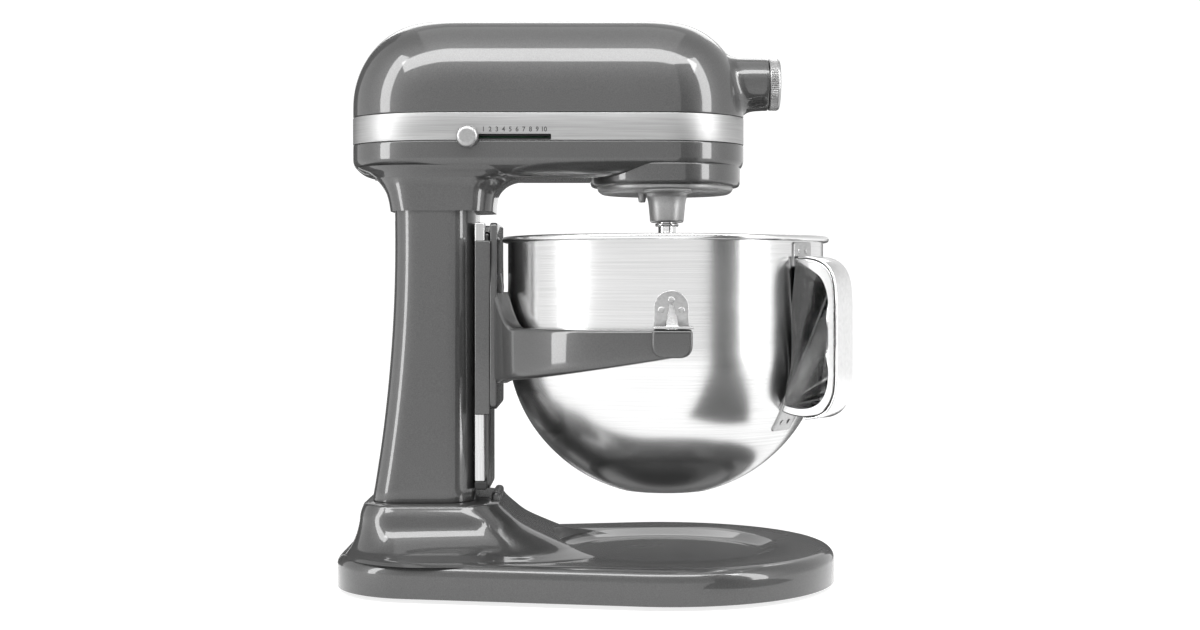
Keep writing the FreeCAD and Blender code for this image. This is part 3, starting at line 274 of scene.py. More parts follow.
def applied(source):
    """The mesh of an object with its modifiers applied, or of a text."""
    bpy.context.view_layer.update()
    depsgraph = bpy.context.evaluated_depsgraph_get()
    return bpy.data.meshes.new_from_object(source.evaluated_get(depsgraph))


def piece(name, points, faces, body, slot, replaces=(), look=None):
    """A mesh piece that rides on a body and stands for CAD nodes."""
    mesh = solid_mesh(name, points, faces)
    shade(mesh)
    mesh.materials.append(LOOKS[look or slot])
    made = placed(name, mesh)
    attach(made, body)
    if replaces:
        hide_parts(*replaces)
    return made


def carve(target, cutter_shape):
    """Cuts a shape out of a piece."""
    cutter = placed("cutter", solid_mesh("cutter", *cutter_shape, weld=False))
    modifier = target.modifiers.new("carve", "BOOLEAN")
    modifier.object = cutter
    modifier.operation = "DIFFERENCE"
    modifier.solver = "EXACT"
    result = applied(target)
    target.modifiers.clear()
    target.data = result
    shade(result)
    bpy.data.objects.remove(cutter)


def skin(rows, ends=True, loop=False):
    """Quads between closed rows of points, capped at both ends or looped."""
    count = len(rows[0])
    points = [point for row in rows for point in row]
    faces = []
    for row in range(len(rows) if loop else len(rows) - 1):
        here = row * count
        there = (row + 1) % len(rows) * count
        for index in range(count):
            after = (index + 1) % count
            faces.append((here + index, here + after, there + after, there + index))
    if ends and not loop:
        faces.append(tuple(range(count)))
        faces.append(tuple(reversed(range(len(points) - count, len(points)))))
    return points, faces


def joined(*shapes):
    """Several point-and-face sets as one."""
    points, faces = [], []
    for more_points, more_faces in shapes:
        start = len(points)
        points.extend(more_points)
        faces.extend(tuple(start + index for index in face) for face in more_faces)
    return points, faces


def moved(shape, change):
    """A point-and-face set with every point passed through a function."""
    return [change(*point) for point in shape[0]], shape[1]


def bend(start, corner, end, share):
    """A point along the curve from start to end that a corner draws towards it."""
    return start.lerp(corner, share).lerp(corner.lerp(end, share), share)


def rounded(points, radius, steps=4, closed=False):
    """A 2-D line with its corners rounded; radius is one number or one for each point."""
    count = len(points)
    radii = radius if isinstance(radius, (list, tuple)) else [radius] * count
    longest_share = 0.49
    line = []
    for index, (point, size) in enumerate(zip(points, radii)):
        if size <= 0 or (not closed and index in (0, count - 1)):
            line.append(tuple(point))
            continue
        corner = Vector(point)
        before = Vector(points[index - 1]) - corner
        after = Vector(points[(index + 1) % count]) - corner
        reach = min(size, before.length * longest_share, after.length * longest_share)
        start = corner + before.normalized() * reach
        end = corner + after.normalized() * reach
        line += [tuple(bend(start, corner, end, step / steps)) for step in range(steps + 1)]
    return line


def flowing(knots, steps):
    """Rows of numbers between knots, on a Catmull-Rom spline."""
    rows = []
    last = len(knots) - 1
    for index in range(last):
        before = Vector(knots[max(index - 1, 0)])
        start = Vector(knots[index])
        end = Vector(knots[index + 1])
        after = Vector(knots[min(index + 2, last)])
        for step in range(steps):
            share = step / steps
            rows.append(0.5 * (2 * start + (end - before) * share
                               + (2 * before - 5 * start + 4 * end - after) * share ** 2
                               + (3 * start - before - 3 * end + after) * share ** 3))
    rows.append(Vector(knots[last]))
    return rows


def flow_line(points, steps=4, closed=False):
    """A smooth 2-D line through points."""
    if not closed:
        return [(x, y) for x, y in flowing(points, steps)]
    wrapped = [points[-1], *points, points[0], points[1]]
    return [(x, y) for x, y in flowing(wrapped, steps)][steps:-steps - 1]


def lathe(profile, segments=72, ripple=None, loop=False):
    """A revolved shape from (height, radius) points, along +Z; a loop leaves its middle open."""
    rows = []
    for height, radius in profile:
        row = []
        for segment in range(segments):
            angle = TURN * segment / segments
            size = radius + (ripple(height, radius, angle) if ripple else 0)
            row.append((size * math.cos(angle), size * math.sin(angle), height))
        rows.append(row)
    return skin(rows, loop=loop)


# Ways to lay a shape that was made flat in X and Y, or along Z

def along_x(y=0.0, z=0.0):
    return lambda u, v, w: (w, y + u, z + v)


def along_y(x=0.0, z=0.0):
    return lambda u, v, w: (x + v, w, z + u)


def shifted(x=0.0, y=0.0, z=0.0):
    return lambda u, v, w: (u + x, v + y, w + z)


def facing_x(u, v, w):
    return w, u, v


def facing_y(u, v, w):
    return u, w, v


def inset_outline(outline, inset):
    """A closed 2-D outline moved inwards; the outline runs anticlockwise."""
    count = len(outline)
    moved_line = []
    for index, (x, y) in enumerate(outline):
        before = outline[index - 1]
        after = outline[(index + 1) % count]
        along = Vector((after[0] - before[0], after[1] - before[1])).normalized()
        moved_line.append((x - along.y * inset, y + along.x * inset))
    return moved_line


def anticlockwise(outline):
    area = sum(a[0] * b[1] - b[0] * a[1] for a, b in zip(outline, outline[1:] + outline[:1]))
    return outline if area > 0 else outline[::-1]


def slab(outline, low, high, edge, steps=4):
    """A plate with rounded rims: a 2-D outline (u, v) between two levels (w)."""
    outline = anticlockwise(list(outline))
    rows = []
    for level, side in ((low, 1), (high, -1)):
        for step in range(steps + 1)[::side]:
            angle = QUARTER * step / steps
            inset = edge * (1 - math.sin(angle))
            height = level + side * edge * (1 - math.cos(angle))
            rows.append([(u, v, height) for u, v in inset_outline(outline, inset)])
    return skin(rows)


def rectangle(u_low, u_high, v_low, v_high, corner, steps=6):
    """A rectangle outline with round corners."""
    points = [(u_low, v_low), (u_high, v_low), (u_high, v_high), (u_low, v_high)]
    return rounded(points, corner, steps, True)


def split_sides(outline, longest):
    """Adds points so that no side of an outline is longer than a length."""
    line = []
    for index, start in enumerate(outline):
        end = outline[(index + 1) % len(outline)]
        parts = max(1, math.ceil((Vector(end) - Vector(start)).length / longest))
        for part in range(parts):
            line.append(tuple(Vector(start).lerp(Vector(end), part / parts)))
    return line


def shifted_line(line, offset):
    """An open 2-D line moved sideways, to its left for a positive offset."""
    result = []
    for index, (x, y) in enumerate(line):
        before = line[max(index - 1, 0)]
        after = line[min(index + 1, len(line) - 1)]
        along = Vector((after[0] - before[0], after[1] - before[1])).normalized()
        result.append((x - along.y * offset, y + along.x * offset))
    return result


# Plans and levels

def oval(rear, front, half, rear_round, front_round, z, steps=30, sides=8):
    """A closed row with straight sides and half-ellipse ends."""
    row = []
    x_front = front - front_round
    x_rear = rear + rear_round
    for step in range(steps + 1):
        angle = math.pi * (step / steps - 0.5)
        row.append((x_front + front_round * math.cos(angle), half * math.sin(angle), z))
    for step in range(1, sides):
        row.append((x_front + (x_rear - x_front) * step / sides, half, z))
    for step in range(steps + 1):
        angle = math.pi * (step / steps + 0.5)
        row.append((x_rear + rear_round * math.cos(angle), half * math.sin(angle), z))
    for step in range(1, sides):
        row.append((x_rear + (x_front - x_rear) * step / sides, -half, z))
    return row


def head_row(inset, z, lean=0.0):
    """The head's plan, drawn in over the crown."""
    draw = 1 - math.cos(lean)
    return oval(BAND_LOW.x + REAR_DRAW * draw + inset, BAND_HIGH.x - FRONT_DRAW * draw - inset,
                BAND_HIGH.y - SIDE_DRAW * draw - inset, REAR_ROUND - REAR_ROUND_DRAW * draw - inset,
                FRONT_ROUND - FRONT_ROUND_DRAW * draw - inset, z)


def head_lip(level, way):
    """The rounded lip beside the band: upwards for a way of 1, downwards for -1."""
    return [head_row(inset, level + way * rise) for inset, rise in
            ((3.0, 0.1), (0.9, 0.0), (0.45, 0.1), (0.12, 0.42), (0, 0.9))]


def crown_front(y, z):
    """How far forward the crown's surface is."""
    lean = math.asin(min(max((z - CROWN_SPRING) / CROWN_RISE, 0.0), 1.0))
    draw = 1 - math.cos(lean)
    across = y / (BAND_HIGH.y - SIDE_DRAW * draw)
    depth = FRONT_ROUND - FRONT_ROUND_DRAW * draw
    return (BAND_HIGH.x - FRONT_DRAW * draw - depth
            + depth * math.sqrt(max(0.0, 1 - across ** 2)))


def round_row(x_low, x_high, half, corner, z, steps=10):
    """A closed row of a rectangle with round corners."""
    row = []
    centres = ((x_high - corner, half - corner, 0), (x_low + corner, half - corner, 1),
               (x_low + corner, corner - half, 2), (x_high - corner, corner - half, 3))
    for x, y, quarter in centres:
        for step in range(steps + 1):
            angle = math.pi / 2 * (quarter + step / steps)
            row.append((x + corner * math.cos(angle), y + corner * math.sin(angle), z))
    return row


def stack(levels, steps=10):
    """Rows through levels of (height, back, front, half width, corner radius)."""
    return [round_row(-back, -front, half, corner, z, steps)
            for z, back, front, half, corner in flowing(levels, 5)]


def base_row(inset, z):
    """The base's plan: a round front, tapered sides and a round-cornered rear."""
    front_steps, side_steps, corner_steps = 40, 8, 16
    radius = BASE_FRONT_RADIUS - inset
    corner = BASE_CORNER - inset
    corner_x = BASE_LOW.x + BASE_CORNER
    corner_y = (radius - corner - math.cos(BASE_LEAN) * corner_x) / math.sin(BASE_LEAN)
    side = []
    for step in range(front_steps + 1):
        angle = BASE_LEAN * step / front_steps
        side.append((radius * math.cos(angle), radius * math.sin(angle)))
    start = Vector(side[-1])
    end = Vector((corner_x + corner * math.cos(BASE_LEAN), corner_y + corner * math.sin(BASE_LEAN)))
    side += [tuple(start.lerp(end, step / side_steps)) for step in range(1, side_steps)]
    for step in range(corner_steps + 1):
        angle = BASE_LEAN + (math.pi - BASE_LEAN) * step / corner_steps
        side.append((corner_x + corner * math.cos(angle), corner_y + corner * math.sin(angle)))
    far = [(x, -y) for x, y in reversed(side[1:])]
    return [(x, y, z) for x, y in side + far]


def column_row(z, inset=0.0):
    """One level of the column, whose back swings out towards the foot."""
    level = (z - COLUMN_LOW.z) / (COLUMN_HIGH.z - COLUMN_LOW.z)
    rear = 216.5 - 37 * level + 21 * level ** 2
    half = 45 + 3 * (1 - level) ** 2
    return round_row(-rear + inset, COLUMN_FRONT - inset, half - inset, COLUMN_CORNER - inset, z)


# Base, column, rails and feet

def base():
    low = BASE_LOW.z
    edge_steps = 10
    rows = [base_row(1.2, low), base_row(0.3, low + 0.4), base_row(0, low + 1.2)]
    for step in range(edge_steps + 1):
        angle = QUARTER * step / edge_steps
        rows.append(base_row(BASE_EDGE * (1 - math.cos(angle)),
                             DECK - BASE_EDGE + BASE_EDGE * math.sin(angle)))
    rows.append(base_row(BASE_EDGE + 5, DECK))
    shell = piece("base_body", *skin(rows), "stand", "body_paint", ["base_casting"])
    above = 60.0
    dish = rounded([(DECK - DISH_DEPTH, 0), (DECK - DISH_DEPTH, DISH_FLOOR), (DECK, DISH_RADIUS),
                    (DECK + 0.4, DISH_RADIUS + 2), (above, DISH_RADIUS + 2), (above, 0)],
                   [0, 4, 1.6, 0, 0, 0], 5)
    carve(shell, lathe(dish, 144))


def pedestal():
    rows = stack([(DECK + rise, *plan) for rise, *plan in PEDESTAL])
    foot = piece("base_pedestal", *skin(rows), "stand", "body_paint", ["base_casting"])
    above = DECK + 30
    carve(foot, lathe([(DECK - DISH_DEPTH, 0), (DECK - DISH_DEPTH, DISH_FLOOR),
                       (DECK, DISH_RADIUS), (above, DISH_RADIUS + 0.5), (above, 0)], 144))
    hump = slab(rectangle(-129.2, -122.4, -25, 25, 3.2), DECK + 28, DECK + 41.5, 3.0, 6)
    piece("base_front_lip", *hump, "stand", "body_paint", ["base_casting"])


def column():
    low, high = COLUMN_LOW.z, COLUMN_HIGH.z
    steps = 24
    rows = [column_row(low, 0.9), column_row(low + 0.4, 0.25)]
    rows += [column_row(low + 1 + (high - low - 1) * step / steps) for step in range(steps + 1)]
    shaft = piece("column_body", *skin(rows), "stand", "body_paint", ["column"])
    rib = slab(rectangle(-26, 26, low + 8, 262, 5), COLUMN_FRONT - 1, COLUMN_HIGH.x, 2.4, 5)
    rib_piece = piece("column_rib", *moved(rib, facing_x), "stand", "body_paint", ["column"])
    mouth = moved(slab(rectangle(-SLOT_HALF, SLOT_HALF, SLOT_LOW, SLOT_HIGH, 4), SLOT_BACK, -120,
                       0.01, 1), facing_x)
    carve(shaft, mouth)
    carve(rib_piece, mouth)
    lap = 0.4
    # A near-black lining at the back of the slot: painted shade in the recess
    lining = slab(rectangle(-SLOT_HALF - lap, SLOT_HALF + lap, SLOT_LOW - lap, SLOT_HIGH + lap, 4),
                  SLOT_BACK - 0.9, SLOT_BACK + 0.5, 0.2, 1)
    piece("column_slot_painted_shade", *moved(lining, facing_x), "stand", "black_plastic", look="dark_gap")
    boss = lathe(rounded([(42, 0), (42, 13.5), (47.6, 13.5), (47.6, 0)], [0, 0, 1.2, 0], 4))
    piece("column_shaft_boss", *moved(boss, along_y(PIVOT_X, PIVOT_Z)), "stand", "body_paint",
          ["column"])


def rails():
    bars, stops = [], []
    for side in (-1, 1):
        edges = side * RAIL_CENTRE - RAIL_HALF, side * RAIL_CENTRE + RAIL_HALF
        outline = rectangle(RAIL_LOW.x, RAIL_HIGH.x, *edges, 1.4, 4)
        bars.append(slab(outline, RAIL_LOW.z, RAIL_HIGH.z, 0.8, 3))
        outline = rectangle(RAIL_LOW.x, RAIL_HIGH.x + 1.5, *edges, 1.4, 4)
        stops.append(slab(outline, RAIL_LOW.z - 6, RAIL_LOW.z, 1.0, 3))
    piece("rail_bars", *joined(*bars), "stand", "brushed_trim", ["guide_rails"], "rail_steel")
    piece("rail_end_stops", *joined(*stops), "stand", "black_plastic", ["rail_stops"])


def feet():
    profile = rounded([(0, 0), (0, 10.2), (0.5, 11), (3, 12), (5, 12), (5, 4), (8, 4), (8, 0)],
                      [0, 1, 1, 1, 0, 0, 0, 0], 3)
    pads = [moved(lathe(profile, 48), shifted(x, y)) for x, y in FOOT_PLACES]
    piece("rubber_feet", *joined(*pads), "stand", "rubber", ["base_feet"])


# Head

def cover():
    low = BAND_HIGH.z + 0.3
    crown_steps = 30
    rows = head_lip(low, 1)
    rows += [head_row(0, low + (CROWN_SPRING - low) * share) for share in (0.3, 0.6)]
    for step in range(crown_steps + 1):
        lean = QUARTER * step / crown_steps
        rows.append(head_row(0, CROWN_SPRING + CROWN_RISE * math.sin(lean), lean))
    rows += [head_row(inset, CROWN_TOP, QUARTER) for inset in (3, 6, 9, 12, 13.4)]
    piece("head_cover", *skin(rows), "stand", "body_paint", ["head_top_cover"])


def hub_neck():
    """The hub's neck, which flares into the crown's front."""
    segments, steps = 96, 10
    centre = (SLEEVE_LOW.z + SLEEVE_HIGH.z) / 2
    waist = 20.6
    rows = []
    for step in range(steps + 1):
        row = []
        for segment in range(segments):
            angle = TURN * segment / segments
            out = Vector((math.cos(angle), math.sin(angle)))
            foot = Vector((crown_front(out.x * NECK_FLARE, centre + out.y * NECK_FLARE) - 0.3,
                           NECK_FLARE))
            corner = Vector((crown_front(out.x * (waist - 0.2), centre + out.y * (waist - 0.2)),
                             waist))
            stem = Vector((corner.x + 9, NECK_RADIUS + 0.35))
            place = bend(foot, corner, stem, step / steps)
            row.append((place.x, out.x * place.y, centre + out.y * place.y))
        rows.append(row)
    end = SLEEVE_HIGH.x
    for x, radius in ((end - 4, NECK_RADIUS + 0.05), (end - 0.8, NECK_RADIUS),
                      (end - 0.2, NECK_RADIUS - 0.25), (end, NECK_RADIUS - 0.9), (end, 16.2),
                      (end - 3, 16.1)):
        rows.append([(x, radius * math.cos(TURN * segment / segments),
                      centre + radius * math.sin(TURN * segment / segments))
                     for segment in range(segments)])
    piece("hub_neck", *skin(rows, ends=False), "stand", "body_paint", ["head_top_cover"])


def housing():
    low = BAND_LOW.z - 0.3
    knots = [(low - 2, 0), (316, 0), (313.6, 0.25), (311.2, 1.2), (309, 2.9), (306.4, 5.7),
             (304, 9.2), (302.2, 14), (301.2, 19), (HOUSING_BOTTOM, 24)]
    rows = head_lip(low, -1) + [head_row(inset, z) for z, inset in flowing(knots, 4)]
    rows.append(head_row(34, HOUSING_BOTTOM))
    piece("head_housing", *skin(rows), "stand", "body_paint", ["head_lower_housing"])
    seat = COLUMN_HIGH.z
    levels = [(seat - 0.4, 203.5, 128, 45.9, 22), (seat + 7, 204.8, 127.4, 46, 22),
              (290, 206.8, 126, 46, 24), (295, 210, 122, 46.2, 28), (298.6, 213.2, 116, 46.7, 32),
              (300.6, 215.4, 108.5, 47.2, 35), (301.6, 216.7, 101, 47.8, 37),
              (304, 221, 92, 49.6, 41), (307, 227, 86, 52.2, 46), (309.4, 231, 82, 54, 50)]
    piece("head_neck", *skin(stack(levels, 16)), "stand", "body_paint", ["head_lower_housing"])


def band():
    low, high = BAND_LOW.z, BAND_HIGH.z
    guide_front, guide_back = -54.4, -52.0
    levels = [(2.0, low), (0.5, low), (0.15, low + 0.15), (0, low + 0.5), (0, (low + high) / 2),
              (0, high - 0.5), (0.15, high - 0.15), (0.5, high), (2.0, high)]
    strip = piece("head_band", *skin([head_row(inset, z) for inset, z in levels], loop=True),
                  "stand", "brushed_trim", ["trim_band"])
    knob_low, knob_high = corners("speed_knob")
    middle = (knob_low.z + knob_high.z) / 2
    start = (knob_low.x + knob_high.x) / 2 - 3.2
    end = start + SLOT_LENGTH
    half = SLOT_HEIGHT / 2
    notch = moved(slab(rectangle(start, end, middle - half, middle + half, 1.0, 3), -60,
                       guide_back, 0.01, 1), facing_y)
    carve(strip, notch)
    # A near-black strip at the bottom of the groove round the band: painted shade in the seam
    seam = skin([head_row(1.3, low - 2), head_row(1.3, high + 2), head_row(3, high + 2),
                 head_row(3, low - 2)], loop=True)
    seam_piece = piece("band_seam_painted_shade", *seam, "stand", "black_plastic", look="dark_gap")
    carve(seam_piece, notch)
    # The speed slot's guide is black plastic, drawn darker still with the painted gap shade
    guide = slab(rectangle(start - 5, end + 6, middle - 5, middle + 6, 1), guide_front,
                 guide_back, 0.3)
    guide_piece = piece("speed_guide", *moved(guide, facing_y), "stand", "black_plastic",
                        ["speed_slot_insert"], "dark_gap")
    groove = slab(rectangle(start + 1, end - 1, middle - 0.9, middle + 0.9, 0.8, 3),
                  guide_front - 1.6, guide_back + 1, 0.01, 1)
    carve(guide_piece, moved(groove, facing_y))
    numerals(start + 14.5, start + 58.1)


def numerals(first, last):
    """Speed numbers 1 to 10 above the slot."""
    cap_share = 0.7
    count = 10
    for number in range(1, count + 1):
        name = "speed_mark_%d" % number
        curve = bpy.data.curves.new(name, "FONT")
        curve.body = str(number)
        curve.size = NUMERAL_HEIGHT / cap_share * MM
        curve.align_x = "CENTER"
        curve.extrude = 0.03 * MM
        curve.offset = 0.09 * MM
        text = placed("speed_mark_source", curve)
        mesh = applied(text)
        bpy.data.objects.remove(text)
        x = first + (last - first) * (number - 1) / (count - 1)
        for vertex in mesh.vertices:
            u, v, w = vertex.co
            vertex.co = (AXIS_X + x * MM + u * 0.92, -BAND_HIGH.y * MM - w - 0.04 * MM,
                         NUMERAL_BOTTOM * MM + v)
        mesh.materials.clear()
        mesh.materials.append(LOOKS["numeral_ink"])
        mark = placed(name, mesh)
        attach(mark, "stand")


def speed_knob():
    low, high = corners("speed_knob")
    radius = (high.x - low.x) / 2
    profile = rounded([(-8.6, 0), (-8.6, radius - 2.6), (-6.8, radius - 0.3), (-1.4, radius),
                       (-0.8, radius - 0.5), (-0.8, 1.5), (9, 1.5), (9, 0)],
                      [0, 2.2, 1.6, 0.4, 0.2, 0, 0, 0], 5)
    shape = moved(lathe(profile, 96), along_y((low.x + high.x) / 2, (low.z + high.z) / 2))
    piece("speed_finger_knob", *moved(shape, shifted(0, -BAND_HIGH.y, 0)), "speed_control",
          "silver_knob", ["speed_knob"])


# Attachment hub

def knurl(depth, count, low, high):
    """A ripple that fades at both ends of a height range."""
    def ripple(height, radius, angle):
        if not low < height < high:
            return 0.0
        return -depth * (0.5 + 0.5 * math.cos(count * angle)) ** 2
    return ripple


def hub_cap():
    low, high = corners("hub_cap")
    radius = (high.z - low.z) / 2
    centre = (high.z + low.z) / 2
    profile = [(low.x, 0), (low.x, radius - 1.0), (low.x + 0.5, radius - 0.3),
               (low.x + 1.1, radius), (low.x + 1.3, radius), (high.x - 2.4, radius),
               (high.x - 2.2, radius)]
    profile += rounded([(high.x - 2.2, radius), (high.x - 0.3, radius - 0.8), (high.x, radius - 3.4),
                        (high.x - 0.6, radius - 6), (high.x - 0.6, 0)], [0, 1.2, 1.8, 2, 0], 4)
    ridges = 84
    cap = lathe(profile, 6 * ridges, knurl(0.5, ridges, low.x + 1.2, high.x - 2.3))
    piece("hub_knurled_cap", *moved(cap, along_x(0, centre)), "hub_cap", "silver_knob", ["hub_cap"])


def hub_screw():
    low, high = corners("hub_thumb_screw")
    profile = rounded([(low.y, 0), (low.y, 3), (24, 3), (24, 8.6), (25.4, 10.5), (34, 10.5),
                       (35.5, 8.8), (35.0, 4), (35.0, 0)], [0, 0.4, 0, 1, 1.4, 1.4, 1.4, 2, 0], 4)
    lobes = 12
    grip = lathe(profile, 12 * lobes, knurl(1.0, lobes, 25.2, 34.4))
    place = along_y((low.x + high.x) / 2, (low.z + high.z) / 2)
    piece("hub_clamp_screw", *moved(grip, place), "thumb_screw", "silver_knob", ["hub_thumb_screw"])


# Planetary drive and beater shaft

def planetary_ring():
    low, high = corners("planetary_housing")
    radius = high.y
    bore, shaft_bore, roof = 51.3, 11, low.z + 9
    profile = rounded([(high.z, shaft_bore), (high.z, radius - 0.6), (high.z - 0.8, radius),
                       (low.z + 3, radius), (low.z, radius - 1.6), (low.z, bore),
                       (roof, bore), (roof, shaft_bore)], [0, 0.4, 0.5, 2, 1.6, 0.6, 0, 0], 5)
    piece("planetary_ring", *lathe(profile, 160, loop=True), "stand", "body_paint",
          ["planetary_housing"])


def planet():
    low, high = corners("planetary_hub")
    edge, bore = 50.8, 6.4
    profile = rounded([(high.z, 6.2), (high.z, edge), (DISC_LOW + 3, edge), (DISC_LOW, edge - 3.6),
                       (DISC_LOW, 14), (DISC_LOW + 0.8, 11), (DISC_LOW + 0.8, 0)],
                      [0, 0.6, 2.8, 2.6, 1.5, 1, 0], 6)
    disc = lathe([(high.z, 0), *profile], 160)
    profile = rounded([(low.z, bore), (low.z, 11.4), (low.z + 1.2, 12.3), (283, 13.6),
                       (288.4, 15.0), (DISC_LOW + 0.2, 19.5), (DISC_LOW + 2, 20),
                       (DISC_LOW + 2, bore)], [0, 1, 1, 4, 3.4, 1.4, 0, 0], 6)
    boss = moved(lathe(profile, 96, loop=True), shifted(0, PLANET_OFFSET))
    profile = rounded([(DISC_LOW - 7, 0), (DISC_LOW - 7, 2.4), (DISC_LOW - 2, 3.2),
                       (DISC_LOW + 1, 4.6), (DISC_LOW + 1, 0)], [0, 1.4, 2, 0.4, 0], 4)
    nub = moved(lathe(profile, 40), shifted(-18, -31))
    piece("planet_disc", *disc, "planetary", "silver_paint", ["planetary_hub"])
    piece("planet_boss", *joined(boss, nub), "planetary", "silver_paint", ["planetary_hub"])


def beater_shaft():
    low, high = corners("agitator_shaft")
    radius = (high.x - low.x) / 2
    profile = rounded([(low.z, 0), (low.z, radius - 1.2), (low.z + 1.4, radius), (243, radius),
                       (243.5, radius - 0.5), (244.3, radius - 0.5), (244.8, radius),
                       (high.z, radius), (high.z, 0)], [0, 0.8, 0.8, 0.2, 0.3, 0.3, 0.2, 0, 0], 4)
    piece("beater_shaft", *moved(lathe(profile, 72), shifted(0, PLANET_OFFSET)), "agitator",
          "chrome", ["agitator_shaft"])
    low, high = corners("agitator_pin")
    profile = rounded([(low.x, 0), (low.x, 1.0), (low.x + 0.7, 1.6), (high.x - 0.7, 1.6),
                       (high.x, 1.0), (high.x, 0)], [0, 0.4, 0.4, 0.4, 0.4, 0], 3)
    pin = moved(lathe(profile, 32), along_x(PLANET_OFFSET, (low.z + high.z) / 2))
    piece("beater_pin", *pin, "agitator", "machined_steel", ["agitator_pin"])
    low, high = corners("spring_washer")
    profile = rounded([(low.z, 6.4), (low.z, 8.2), (low.z + 0.9, 8.6), (high.z - 0.6, 8.6),
                       (high.z, 8.2), (high.z, 6.4)], [0, 0.4, 0.4, 0.4, 0.3, 0], 3)
    washer = moved(lathe(profile, 72, loop=True), shifted(0, PLANET_OFFSET))
    piece("beater_washer", *washer, "agitator", "machined_steel", ["spring_washer"])


# Bowl

def bowl_radius_at(z):
    """The bowl's outer radius at a height."""
    drop = max(0.0, (BOWL_SPRING - z) / BOWL_DEPTH)
    return BOWL_RADIUS * math.sqrt(max(0.0, 1 - drop ** 2))


def bowl_side(inset):
    """Half of the bowl's section, from its foot to below its rim."""
    steps, upright_steps = 40, 6
    start = math.acos(BOWL_FOOT / BOWL_RADIUS)
    line = []
    for step in range(steps + 1):
        angle = start * (1 - step / steps)
        line.append((BOWL_SPRING - (BOWL_DEPTH - inset) * math.sin(angle),
                     (BOWL_RADIUS - inset) * math.cos(angle)))
    rise = BOWL_RIM - 3 - BOWL_SPRING
    return line + [(BOWL_SPRING + rise * share / upright_steps, BOWL_RADIUS - inset)
                   for share in range(1, upright_steps + 1)]


def bowl_shell():
    outer, inner = bowl_side(0), bowl_side(BOWL_WALL)
    bead_radius, steps = 2.3, 16
    bead = []
    for step in range(steps + 1):
        angle = math.radians(-150 + 300 * step / steps)
        bead.append((BOWL_RIM + bead_radius * math.sin(angle),
                     BOWL_RADIUS + 2 + bead_radius * math.cos(angle)))
    profile = [(outer[0][0], 0), (outer[0][0], BOWL_FOOT - 1.5), *outer, *bead,
               (BOWL_RIM - 0.6, BOWL_RADIUS - 0.9), *reversed(inner), (inner[0][0], 0)]
    piece("bowl_body", *lathe(profile, 192), "bowl", "bowl_steel", ["bowl_shell"])


def on_wall(azimuth):
    """Lays (across, height, proud) on the bowl's wall round an azimuth."""
    def place(u, v, w):
        radius = bowl_radius_at(v) + w
        angle = azimuth + u / radius
        return radius * math.cos(angle), radius * math.sin(angle), v
    return place


def weld_dot(across, height, proud, size=1.7):
    """A small round weld mark with a raised ring."""
    profile = [(proud - 0.2, size + 0.5), (proud + 0.12, size + 0.2), (proud + 0.22, size - 0.2),
               (proud + 0.05, size - 0.7), (proud + 0.02, 0.0)]
    return moved(lathe(profile, 24), lambda u, v, w: (u + across, v + height, w))


def brackets():
    """The brackets at the bowl's sides that sit on the arms, and the button at its back."""
    low, high = corners("bowl_side_brackets")
    seat = low.z
    sheets = []
    for side in (-1, 1):
        wall = on_wall(side * QUARTER)
        arch = [(-BRACKET_HALF, seat), (BRACKET_HALF, seat), (BRACKET_HALF, BRACKET_ARCH)]
        arch += [(BRACKET_HALF * math.cos(math.radians(turn)),
                  BRACKET_ARCH + BRACKET_HALF * math.sin(math.radians(turn)))
                 for turn in range(15, 180, 15)]
        arch.append((-BRACKET_HALF, BRACKET_ARCH))
        plate = moved(slab(split_sides(arch, 6), -0.2, PLATE_THICK, 0.5, 3), wall)
        dots = [moved(weld_dot(across, height, PLATE_THICK), wall)
                for across, height in ((0, 212.5), (-7, 205.5), (7, 205.5))]
        edges = sorted((side * BOWL_RADIUS, high.y * side))
        flange = slab(rectangle(-13, 14.5, *edges, 1.6, 4), seat, seat + 1.6, 0.5, 3)
        triangle = rounded([(118.4, seat + 1), (133, seat + 1.4), (131.5, seat + 3.2), (120.6, 209),
                            (118.4, 210)], [0, 0.8, 2, 1, 0], 3, True)
        gusset = moved(slab(triangle, -5.2, 5.2, 0.9, 3),
                       lambda u, v, w: (w * (1 - 0.72 * (v - seat) / 17), side * u, v))
        sheets += [plate, flange, gusset, *dots]
    piece("bowl_brackets", *joined(*sheets), "bowl", "bowl_steel", ["bowl_side_brackets"],
          "bracket_steel")
    low, high = corners("bowl_back_pin")
    profile = rounded([(low.x, 0), (low.x, 2.2), (low.x + 0.8, 3), (high.x, 3), (high.x, 0)],
                      [0, 0.6, 0.6, 0, 0], 3)
    button = moved(lathe(profile, 40), along_x(0, (low.z + high.z) / 2))
    piece("bowl_back_button", *button, "bowl", "bowl_steel", ["bowl_back_pin"], "machined_steel")


def at_handle(u, v, w):
    """Lays (out, height, across) in the handle's upright plane."""
    return (u * math.cos(HANDLE_TURN) - w * math.sin(HANDLE_TURN),
            u * math.sin(HANDLE_TURN) + w * math.cos(HANDLE_TURN), v)


